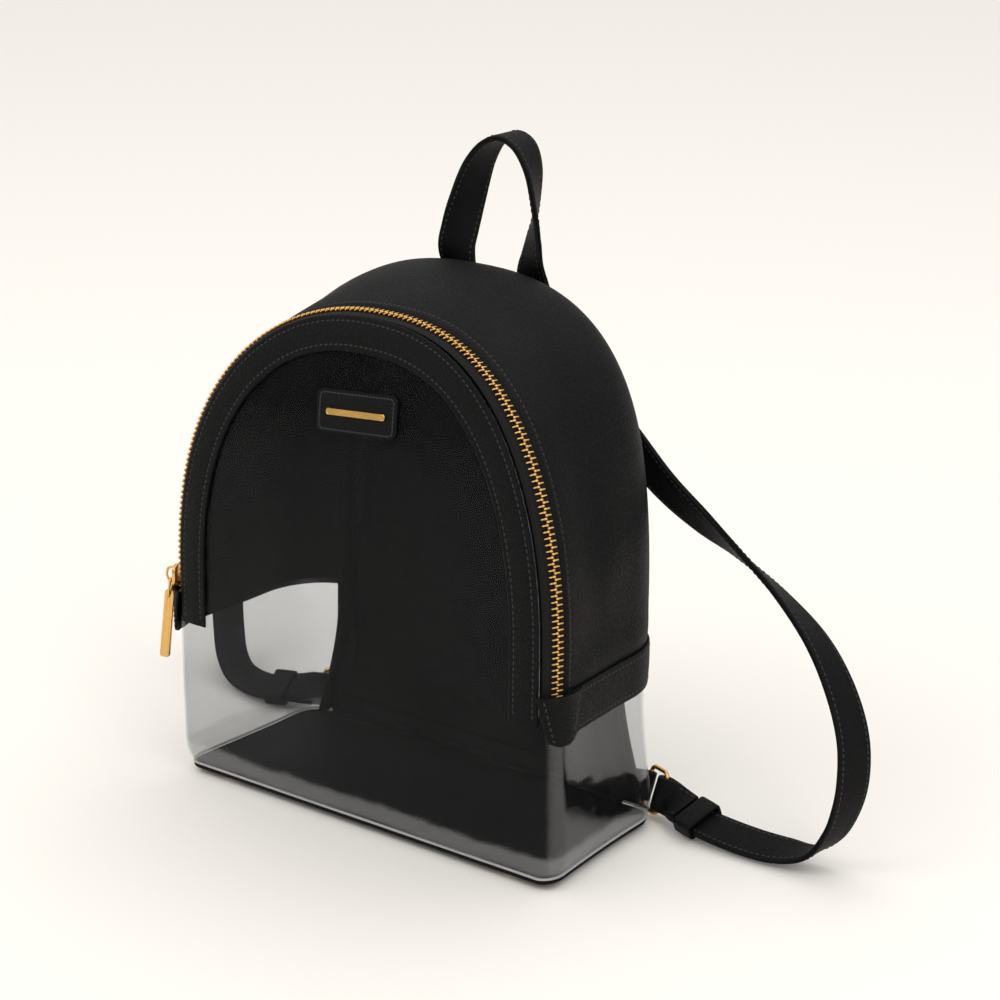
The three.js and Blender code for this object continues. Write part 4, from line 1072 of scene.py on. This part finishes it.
class BACKPACK_OT_back(BagOperator, bpy.types.Operator):
    """Back panel, its lining, the seam binding and the rolled seam at the foot"""

    bl_idname = "backpack.back"
    bl_label = "Back"

    def sheet(self, inset, foot, lift, wave):
        """Rows go straight across between the seam's sides, at the back's depth plus a wave of two
        sines."""
        knee = share_at(110)
        rows = np.concatenate([share_at(np.linspace(foot, 110, 30)), np.linspace(knee, 0.01, 50)[1:]])
        ends, out = back_seam(rows)
        x, z = (ends - out * inset)[:, ::2].T
        bend = np.linspace(-1, 1, 61)
        bend = bend + 0.12 * np.sin(bend * math.pi)
        px, pz = x[:, None] * bend, np.broadcast_to(z[:, None], (len(rows), 61))
        inside = np.clip(1 - np.abs(bend) ** 4, 0, 1)
        py = back_y(pz) + lift + wave * np.sin(px / 37 + 1) * np.sin(pz / 41) * inside
        return np.stack([px, py, pz], -1)

    def execute(self, context):
        """Both sheets: straight rows between the seam's two sides, on the leaning back."""
        grid = self.sheet(0.6, 0.0, 0.0, 0.5)
        r, c = grid.shape[:2]
        panel = piece("back_leather", [(grid, rings_faces(r, c, closed_v=False), [], grid_uv(grid))],
                      "leather", replaces=["back_panel"], smooth_angle=80)
        thicken(panel, BACK_WALL, 1)
        grid = self.sheet(9.2, 12.0, -BACK_WALL - 0.8, 0.35)
        faces = rings_faces(r, c, closed_v=False)[:, ::-1]
        cloth = piece("back_inside", [(grid, faces, [], grid_uv(grid))], "lining",
                      replaces=["back_lining"], smooth_angle=80)
        thicken(cloth, LINING_WALL, 1)
        shares = share_range(3, 2.0)
        ends, out = back_seam(shares)
        wide = np.tile([0.0, 1.0, 0.0], (len(shares), 1))
        piping = carried(ends + [0, -0.4, 0] + out * 0.2, wide, circle(1.5, 12))
        piece("back_piping", [piping], "smooth_leather")
        line = ends - out * 4.2 + [0, 0.1, 0]
        line[:, 1] = back_y(line[:, 2]) + 0.15
        piece("back_stitches", [stitches(line, wide)], "thread")
        self.bindings()
        return {"FINISHED"}

    def bindings(self):
        """Seam roll: a flattened superellipse carried along the back seam. Foot roll: a circle carried
        along the foot."""
        shares = share_range(6, 2.5)
        ends, out = back_seam(shares)
        middle = ends - out * 5.5
        lowest = middle[:, 2] - np.maximum(out[:, 2], 0) * 2.5
        middle[:, 1] = back_y(lowest) - BACK_WALL - 0.6 - 7.5
        turn = full_turn(20)
        soft = lambda v: np.sign(v) * np.abs(v) ** 0.7
        profile = np.stack([7.4 * soft(np.cos(turn)), 2.4 * soft(np.sin(turn))], -1)
        wide = np.tile([0.0, 1.0, 0.0], (len(shares), 1))
        piece("seam_roll", [carried(middle, wide, profile)], "lining",
              replaces=["seam_binding"])
        half = side_lines(np.array([share_at(6.0)]))[0][0, -1, 0] - 8.3
        x = np.linspace(-half, half, 90)
        y = form().depth - BACK_WALL - 0.8 - 0.6 - 3.4
        path = np.stack([x, y + 0 * x, 3.3 + 0 * x], -1)
        wide = np.tile([0.0, 1.0, 0.0], (len(x), 1))
        piece("foot_roll", [carried(path, wide, circle(2.9, 16))], "lining",
              replaces=["base_binding"])


# Patch, its stitch row and its bar: width, height and corner radius in millimetres.
PATCH, PATCH_ROW, PATCH_BAR = (51.5, 21.8, 4.0), (48.3, 18.6, 2.6), (38.0, 3.2, 1.0)
PATCH_TURN, PATCH_BELOW_TOP = math.radians(4.5), 46.5


class BACKPACK_OT_patch(BagOperator, bpy.types.Operator):
    """Leather patch on the window with a plain metal bar"""

    bl_idname = "backpack.patch"
    bl_label = "Patch"

    def sheet(self, width, height, corner, rows, columns):
        """Rows whose half width follows a circle at the corners, turned a little on the front face."""
        turn, centre = PATCH_TURN, form().front_height - PATCH_BELOW_TOP
        rise = np.linspace(-1, 1, rows)[:, None]
        rise = np.sin(rise * math.pi / 2) * height / 2
        over = np.maximum(np.abs(rise) - (height / 2 - corner), 0)
        half = width / 2 - corner + np.sqrt(np.maximum(corner ** 2 - over ** 2, 0))
        along = np.linspace(-1, 1, columns)[None, :] * half
        x = along * math.cos(turn) - rise * math.sin(turn)
        z = centre + along * math.sin(turn) + rise * math.cos(turn)
        return np.stack([x, front_y(x, z), z], -1)

    def execute(self, context):
        """Patch: rows whose half width follows the rounded corners. Its edge is stitched."""
        outward = np.array([0.0, -1.0, 0.0])
        grid = self.sheet(*PATCH, 31, 33)
        n = np.broadcast_to(outward, grid.shape)
        piece("patch", [wall_part(grid, 2.0, 1.4, n, grid_uv(grid))], "smooth_leather",
              replaces=["label_patch"])
        edge = self.sheet(*PATCH_ROW, 31, 33)
        loop = np.concatenate([edge[0], edge[1:, -1], edge[-1, ::-1][1:], edge[::-1, 0][1:]])
        seam = stitches(loop - [0, 2.03, 0], np.tile(outward, (len(loop), 1)), pitch=2.3)
        piece("patch_stitches", [seam], "thread")
        grid = self.sheet(*PATCH_BAR, 9, 25)
        n = np.broadcast_to(outward, grid.shape)
        piece("patch_bar", [wall_part(grid, 3.0, 0.7, n, grid_uv(grid))], "gold",
              replaces=["label_bar"])
        return {"FINISHED"}


# Stations of the hand loop's left leg: share of the legs' spread, of the rise, back, swing in degrees.
HANDLE_PATH = [
    (0.99, 0.16, -0.03, 24), (0.96, 0.30, 0.0, 38), (0.90, 0.48, 0.05, 55), (0.68, 0.79, 0.12, 75),
    (0.36, 0.95, 0.15, 86), (0.0, 1.0, 0.15, 90),
]


class BACKPACK_OT_hand_loop(BagOperator, bpy.types.Operator):
    """Hand loop of two stitched layers"""

    bl_idname = "backpack.hand_loop"
    bl_label = "Hand loop"

    def execute(self, context):
        """A grooved section carried along a spline: out of the back seam, over the rounded edge, up."""
        f = form()
        legs, rise, wall = 25.5, 73.0, 3.0
        angle = math.acos((legs / f.back_half) ** (f.back_full / 2))
        share = (1 - SPRING_SHARE) * (1 - angle / (math.pi / 2))
        full = side_length([share])[0]
        stations = []
        for back in (1.5, 8.0, 16.0):
            d = full - back
            grid = surface(np.array([share - 0.02, share, share + 0.02]), [d - 0.6, d, d + 0.6])
            n = out_normals(grid)[1, 1]
            slope = unit(grid[2, 1] - grid[0, 1])
            stations.append(np.concatenate([grid[1, 1] + n * (wall / 2 + 1.1), -slope]))
        foot = stations[-1][:3]
        for out, up, behind, swing in HANDLE_PATH:
            a = math.radians(swing)
            stations.append(np.array([out * legs, foot[1] + behind * rise, foot[2] + up * rise,
                                      -math.cos(a), math.sin(a), 0]))
        right = np.array(stations)
        whole = np.concatenate([right[:-1] * [-1, 1, 1, -1, 1, 1], right[::-1]])
        path = spline(whole, 260)
        points, wide = path[:, :3], path[:, 3:]
        width = trim().handle
        profile = strap_profile(width, wall)
        piece("hand_loop", [carried(points, wide, profile)], "smooth_leather",
              replaces=["top_handle"])
        piece("hand_loop_stitches", strap_rows(points[14:-14], wide[14:-14], width, wall), "thread")
        return {"FINISHED"}


# Ring and strap sizes, in millimetres: wire, inner length of a ring, play, and length of the fold.
WIRE, OPENING, ROOM = 1.2, 10.0, 0.5
BAR_AT = OPENING / 2 + WIRE
FOLD = 20.0
# Stops of each strap: shares of the front's half width, the depth and the back's height, then the
# direction of the strap's width.
STRAP_ROUTE = {
    "right": [
        (1.52, 0.952, 0.005, 0.05, 0.9, 0.4), (1.67, 0.965, 0.006, 0.0, 0.92, 0.3),
        (1.8, 0.995, 0.015, -0.15, 0.95, -0.1), (1.885, 1.03, 0.054, 0.0, 0.86, -0.45),
        (1.935, 1.048, 0.112, 0.3, 0.87, -0.3), (1.951, 1.061, 0.168, 0.45, 0.87, -0.1),
        (1.93, 1.084, 0.238, 0.42, 0.88, 0.0), (1.854, 1.107, 0.315, 0.3, 0.92, 0.0),
        (1.716, 1.134, 0.395, 0.08, 0.95, -0.1), (1.511, 1.162, 0.464, -0.2, 0.92, -0.3),
        (1.277, 1.176, 0.523, -0.55, 0.72, -0.42), (1.097, 1.165, 0.568, -0.55, 0.4, -0.7),
        (0.9, 1.16, 0.622, -0.58, 0.15, -0.78),
    ],
    "left": [
        (1.52, 1.02, 0.008, 0.2, 0.92, 0.3), (1.661, 1.11, 0.027, 0.4, 0.9, 0.12),
        (1.777, 1.226, 0.063, 0.55, 0.82, 0.1), (1.835, 1.29, 0.108, 0.65, 0.75, 0.05),
        (1.868, 1.345, 0.174, 0.7, 0.72, 0.0), (1.835, 1.39, 0.279, 0.7, 0.7, -0.05),
        (1.694, 1.409, 0.39, 0.68, 0.66, -0.3), (1.421, 1.38, 0.488, 0.62, 0.5, -0.6),
        (1.116, 1.308, 0.585, 0.58, 0.3, -0.75), (0.851, 1.208, 0.68, 0.56, 0.12, -0.8),
    ],
}
# Where a strap lies on the back: shares across and up, and how far it stands off.
STRAP_SEAT = [(0.64, 0.73, 2.6), (0.46, 0.79, 1.2), (0.28, 0.855, 0.9)]


class RingFrame:
    """Where a strap's ring lies: out from the ring's middle, off the strap, and across it."""

    def __init__(self, side):
        f = form()
        self.side = side
        self.middle = np.array([side * (f.back_foot - 11.0), f.depth + 6.5, -5.4 + 13.4])
        self.out = unit(np.array([side * 0.95, -0.28, -0.045]))

    def wide(self, a):
        t = smooth(BAR_AT, BAR_AT + FOLD, np.asarray(a, float))
        wide = np.stack([0 * t, mix(0.3, 0.92, t), mix(0.95, 0.36, t)], -1)
        return unit(wide - self.out * (wide * self.out).sum(-1, keepdims=True))

    def place(self, a, t, w=0.0):
        a, t, w = (np.asarray(v, float) for v in (a, t, w))
        wide = self.wide(a)
        up = np.cross(self.out, wide) * self.side
        return self.middle + self.out * a[..., None] + up * t[..., None] + wide * w[..., None]

    def station(self, a, t, wide_at=None):
        """Place and width direction of one stop on a strap's path."""
        return np.concatenate([self.place(a, t), self.wide(a if wide_at is None else wide_at)])

    def turn(self, bar, wall, tilt):
        """Middle of a wall's turn round a bar, from below to above it."""
        radius = WIRE + ROOM + wall / 2
        rows = []
        for degrees in (-90, -60, -30, 0, 30, 60, 90):
            a = math.radians(degrees - tilt)
            along = bar - math.copysign(radius, bar) * math.cos(a)
            rows.append(self.station(along, radius * math.sin(a), bar))
        return rows


def turned_in(rings, centre):
    """Whether the quads of these rings face their centre."""
    face = np.cross(rings[0, 1] - rings[0, 0], rings[1, 0] - rings[0, 0])
    return np.dot(face, rings[0, 0] - centre) < 0


def loop_path(half_long, half_wide, corner, each=7):
    """A rounded rectangle as a closed line of (long, wide) points, anticlockwise."""
    turn = (np.arange(4)[:, None] + np.linspace(0, 1, each)[None, :]) * math.pi / 2
    sign = np.array([[1, 1], [-1, 1], [-1, -1], [1, -1]], float)[:, None]
    arc = np.stack([np.cos(turn), np.sin(turn)], -1) * corner
    return (sign * [half_long - corner, half_wide - corner] + arc).reshape(-1, 2)


def wire_ring(place, half_long, half_wide, wire, sides=12):
    """Round wire along a rounded rectangle; place turns (length, height, width) into a point."""
    path = loop_path(half_long, half_wide, 2 * wire + 0.4)
    ahead = np.roll(path, -1, 0) - np.roll(path, 1, 0)
    normal = unit(np.stack([ahead[:, 1], -ahead[:, 0]], -1))
    turn = full_turn(sides)
    o = wire * np.cos(turn)[None, :]
    rings = place(path[:, :1] + normal[:, :1] * o, wire * np.sin(turn)[None, :] + 0 * path[:, :1],
                  path[:, 1:] + normal[:, 1:] * o)
    quads = rings_faces(len(path), sides, True)
    return rings, quads[:, ::-1] if turned_in(rings, rings[0].mean(0)) else quads, [], None


class BACKPACK_OT_straps(BagOperator, bpy.types.Operator):
    """Shoulder straps with their rings, ring tabs and keepers"""

    bl_idname = "backpack.straps"
    bl_label = "Shoulder straps"

    def execute(self, context):
        """Straps: a grooved section carried along a spline from the folded end over the ring, along the
        floor and up to the back panel."""
        for word, side in (("left", -1), ("right", 1)):
            ring = RingFrame(side)
            self.strap(ring, word, side)
            self.hardware(ring, word, side)
        return {"FINISHED"}

    def strap(self, ring, word, side):
        """The folded end goes round the ring's bar. Then come the route's stations, in shares of the
        bag's sizes, and the seat on the back."""
        f, wall, width = form(), trim().strap_wall, trim().strap
        radius = WIRE + ROOM + wall / 2
        lapped = radius - wall - 2 * GAP
        fold = lambda share: BAR_AT + FOLD * share
        rows = [ring.station(fold(1.0), -lapped), ring.station(fold(0.75), -lapped),
                ring.station(fold(0.5), -lapped), ring.station(fold(0.25), 0.2 * radius)]
        rows += ring.turn(BAR_AT, wall, 0)[::-1]
        rows += [ring.station(fold(s), -radius) for s in (0.25, 0.5, 0.75, 1.0)]
        rows += [ring.station(BAR_AT + 28.5, -radius), ring.station(BAR_AT + 37.0, -radius)]
        size = np.array([side * f.front_half, f.depth, f.back_height, 1, 1, 1])
        rows += [np.array(row) * size for row in STRAP_ROUTE[word]]
        for across, up, off in STRAP_SEAT:
            z = up * f.back_height
            rows.append(np.array([side * across * f.front_half, back_y(z) + wall / 2 + off, z,
                                  -side * 0.6, -0.09, -0.8]))
        count, last = 620, len(rows) - 1
        path = spline(rows, count)
        points, wide = path[:, :3], path[:, 3:]
        piece(f"strap_{word}", [carried(points, wide, strap_profile(width, wall))], "smooth_leather",
              replaces=[f"shoulder_strap_{word}"])
        # The rows start past the ring's wall, and the folded end has rows of its own.
        first, start, lap = (int(count * station / last) for station in (10.5, 0.15, 2.2))
        rows = strap_rows(points[first:-6], wide[first:-6], width, wall)
        rows += strap_rows(points[start:lap], wide[start:lap], width, wall)
        piece(f"strap_stitches_{word}", rows, "thread")

    def hardware(self, ring, word, side):
        """Ring: wire along a rounded rectangle. Tab: a section carried round the ring's bar. Keeper: a
        section carried along a closed rounded rectangle."""
        width = trim().strap
        piece(f"ring_{word}", [wire_ring(ring.place, BAR_AT, width / 2 + 1.2 + WIRE, WIRE)], "gold",
              replaces=[f"strap_ring_{word}"])
        wall, seat, tab_wide = 1.5, 12.0, 16.0
        edge = ring.place(-BAR_AT, 0.0)
        seat_x, height = edge[0] - side * seat, edge[2] + 1
        off = back_y(height) + 1.1 + wall / 2
        row = lambda layer, inwards: np.array([
            seat_x - side * inwards, off + layer * (wall + 2 * GAP), height, 0, 0.1, 1.0])
        rows = [row(0, seat), row(0, 0), *ring.turn(-BAR_AT, wall, 35)[::-1], row(1, 0), row(1, seat)]
        path = spline(rows, 90)
        piece(f"tab_{word}", [carried(path[:, :3], path[:, 3:], strap_profile(tab_wide, wall, 0.1))],
              "smooth_leather", replaces=[f"ring_tab_{word}"])
        middle = -(WIRE + ROOM + 1.5)
        half, low, high = width / 2 + 0.6 + 0.8, middle - 2.1 - 0.8, middle + 1.5 + 2.4 + 0.8
        loop = loop_path((high - low) / 2, half, 1.6)
        at = BAR_AT + 22 + 6.5
        path = ring.place(at + 0 * loop[:, 0], loop[:, 0] + (high + low) / 2, loop[:, 1])
        wide = np.tile(ring.out, (len(path), 1))
        piece(f"keeper_{word}", [carried(path, wide, strap_profile(13.0, 1.6, 0.12), True)],
              "smooth_leather", replaces=[f"strap_keeper_{word}"])


def extruded(outline_points, low, high, bevel, place):
    """A plate with rounded edges: the outline at growing heights, pulled in at both ends."""
    centre = outline_points.mean(0)
    turn = np.linspace(0, math.pi / 2, 4)
    steps = [(low + bevel * (1 - math.sin(a)), bevel * (1 - math.cos(a))) for a in turn[::-1]]
    steps += [(high - bevel * (1 - math.sin(a)), bevel * (1 - math.cos(a))) for a in turn]
    size = np.abs(outline_points - centre).max(0)
    rings = np.stack([place(centre + (outline_points - centre) * (1 - inset / size), height)
                      for height, inset in steps])
    return closed_loop(rings, outward=not turned_in(rings, rings[0].mean(0)))


class BACKPACK_OT_slider(BagOperator, bpy.types.Operator):
    """Zip slider with its bail, and the link and pull that hang in it"""

    bl_idname = "backpack.slider"
    bl_label = "Zip slider and pull"

    def execute(self, context):
        """Slider: a waisted plate over the teeth with a wire arch. Pull: a bar with an eye, swept as one
        loop from its outline to the eye."""
        long, thick, bail_half, bail_rise, wire, lean = 10.5, 2.2, 4.5, 5.1, 0.7, math.radians(7.0)
        share = -share_at(TAB_TOP + 0.6 + long / 2)
        line, normal = side_row(np.array([share - 0.004, share, share + 0.004]), TEETH_AT)
        spot, out = line[1], unit(normal[1] * [1, 1, 0])
        up = np.array([0.0, 0, 1])
        across = np.cross(up, out)
        base = thick * 0.6 + 2 * GAP

        def place(o, a, u):
            o, a, u = np.broadcast_arrays(o, a, u)
            return spot + out * o[..., None] + across * a[..., None] + up * u[..., None]

        corners = np.array([(-3.75, -5.25), (3.75, -5.25), (4.75, 2.1), (3.2, 5.25), (-3.2, 5.25),
                            (-4.75, 2.1)])
        ring = spline(np.concatenate([corners, corners[:1]]) @ np.eye(2, 3), 61)[:-1, :2]
        plate = extruded(ring, base, base + thick, 0.6, lambda p, h: place(h, p[:, 0], p[:, 1]))
        arch = np.linspace(0, math.pi, 40)
        foot = base + 1.5
        path = place(foot + bail_rise * np.sin(arch) ** 0.6, 0.0, bail_half * np.cos(arch))
        wide = np.tile(across, (40, 1))
        bail = carried(path, wide, circle(wire, 10))
        piece("slider", [plate, bail], "gold", replaces=["zip_slider"])
        hinge_out = base + thick + 4.4 - 1.4 - wire - GAP
        hinge_up = -bail_half + wire + wire + 0.6

        def hang(along, off, side):
            return place(hinge_out - along * math.sin(lean) + off * math.cos(lean), side,
                         hinge_up + along * math.cos(lean) + off * math.sin(lean))

        half_link = 5.0
        link = wire_ring(lambda a, t, w: hang(a - half_link, t, w), half_link, 2.2, wire)
        piece("pull_link", [link], "gold", "pull", ["zip_pull_link"])
        count = 48
        lon = full_turn(count) + 0.01
        box = loop_path(20.0, 2.8, 1.5, 12) - [17.2, 0]
        eye = 1.15 * np.stack([np.cos(lon), np.sin(lon)], -1)
        order = np.argsort(np.arctan2(box[:, 1], box[:, 0]) % (2 * math.pi))
        box = box[order]
        wall, b = 1.1, 0.35
        inset_box = box + np.where(np.abs(box[:, 1:]) > 2.2, -np.sign(box) * [[0, b]], 0)
        sections = [(box, b - wall), (box, wall - b), (inset_box, wall), (eye, wall), (eye, -wall),
                    (inset_box, -wall)]
        rings = np.stack([hang(loop[:, 0] - 10, loop[:, 1], off + 0 * lon) for loop, off in sections], 1)
        quads = rings_faces(count, 6, True)
        if turned_in(rings, rings[:, 0].mean(0)):
            quads = quads[:, ::-1]
        piece("pull", [(rings, quads, [], None)], "gold", "pull", ["zip_pull"],
              smooth_angle=35)
        return {"FINISHED"}


# Stage, in metres and watts: each light's place, size, power and tint.
CAMERA_AT, CAMERA_AIM, CAMERA_LENS = (0.8469, -1.0673, 0.6289), (0.0335, -0.0009, 0.1734), 96.4
FLOOR_RADIUS, FLOOR_DROP, FAR = 60.0, 0.0004, 300.0
LIGHTS = {
    "key_light": ((-1.1, -1.5, 1.9), (1.5, 1.5), 11, (1, 0.98, 0.95)),
    "fill_light": ((1.9, -0.9, 1.2), (0.9, 1.8), 9, (1, 1, 1)),
    "top_light": ((0.2, 0.6, 2.3), (1.8, 1.4), 7.5, (1, 1, 1)),
}
LIT_SPOT = (0, 0, 0.15)


def turn_to(obj, place, target):
    """Puts an object at a place, looking at the target."""
    obj.location = place
    obj.rotation_euler = (Vector(target) - obj.location).to_track_quat("-Z", "Y").to_euler()
    bpy.context.scene.collection.objects.link(obj)


class BACKPACK_OT_stage(BagOperator, bpy.types.Operator):
    """Pale floor, soft lights and the camera"""

    bl_idname = "backpack.stage"
    bl_label = "Stage"

    def execute(self, context):
        """Floor: a flat disc. Each light and the camera look at their aim."""
        mesh = bpy.data.meshes.new("floor")
        lon = full_turn(48)
        disc = FLOOR_RADIUS * np.stack([np.cos(lon), np.sin(lon)], -1)
        points = np.column_stack([disc, 0 * lon - FLOOR_DROP])
        mesh.from_pydata(points.tolist(), [], [list(range(48))])
        mesh.materials.append(paint("floor"))
        floor = bpy.data.objects.new("floor", mesh)
        bpy.context.scene.collection.objects.link(floor)
        bpy.context.scene.world = soft_daylight()
        bpy.context.scene.view_settings.view_transform = "Standard"
        for name, (place, size, power, tint) in LIGHTS.items():
            lamp = bpy.data.lights.new(name, "AREA")
            lamp.shape, lamp.size, lamp.size_y = "RECTANGLE", size[0], size[1]
            lamp.energy, lamp.color = power, tint
            turn_to(bpy.data.objects.new(name, lamp), place, LIT_SPOT)
        camera = bpy.data.cameras.new("camera")
        camera.lens, camera.sensor_width, camera.clip_end = CAMERA_LENS, 36.0, FAR
        obj = bpy.data.objects.new("camera", camera)
        turn_to(obj, CAMERA_AT, CAMERA_AIM)
        bpy.context.scene.camera = obj
        return {"FINISHED"}


class BACKPACK_PT_panel(bpy.types.Panel):
    """Lists the bag's operators"""

    bl_label = "Clear backpack"
    bl_space_type = "VIEW_3D"
    bl_region_type = "UI"
    bl_category = "Backpack"

    def draw(self, context):
        for operator in OPERATORS:
            self.layout.operator(operator.bl_idname)


OPERATORS = (
    BACKPACK_OT_stage, BACKPACK_OT_clear_sheet, BACKPACK_OT_base, BACKPACK_OT_front_band,
    BACKPACK_OT_zip, BACKPACK_OT_gusset, BACKPACK_OT_side_trim, BACKPACK_OT_back,
    BACKPACK_OT_patch, BACKPACK_OT_hand_loop, BACKPACK_OT_straps, BACKPACK_OT_slider,
)
CLASSES = (BagForm, BagTrim, BagLooks, *OPERATORS, BACKPACK_PT_panel)


def register():
    for cls in CLASSES:
        bpy.utils.register_class(cls)
    bpy.types.Scene.bag_form = PointerProperty(type=BagForm)
    bpy.types.Scene.bag_trim = PointerProperty(type=BagTrim)
    bpy.types.Scene.bag_looks = PointerProperty(type=BagLooks)


def unregister():
    for name in ("bag_form", "bag_trim", "bag_looks"):
        delattr(bpy.types.Scene, name)
    for cls in reversed(CLASSES):
        bpy.utils.unregister_class(cls)


def main():
    register()
    for operator in OPERATORS:
        getattr(bpy.ops.backpack, operator.bl_idname.split(".")[1])()
    bpy.context.view_layer.update()


if __name__ == "__main__":
    main()
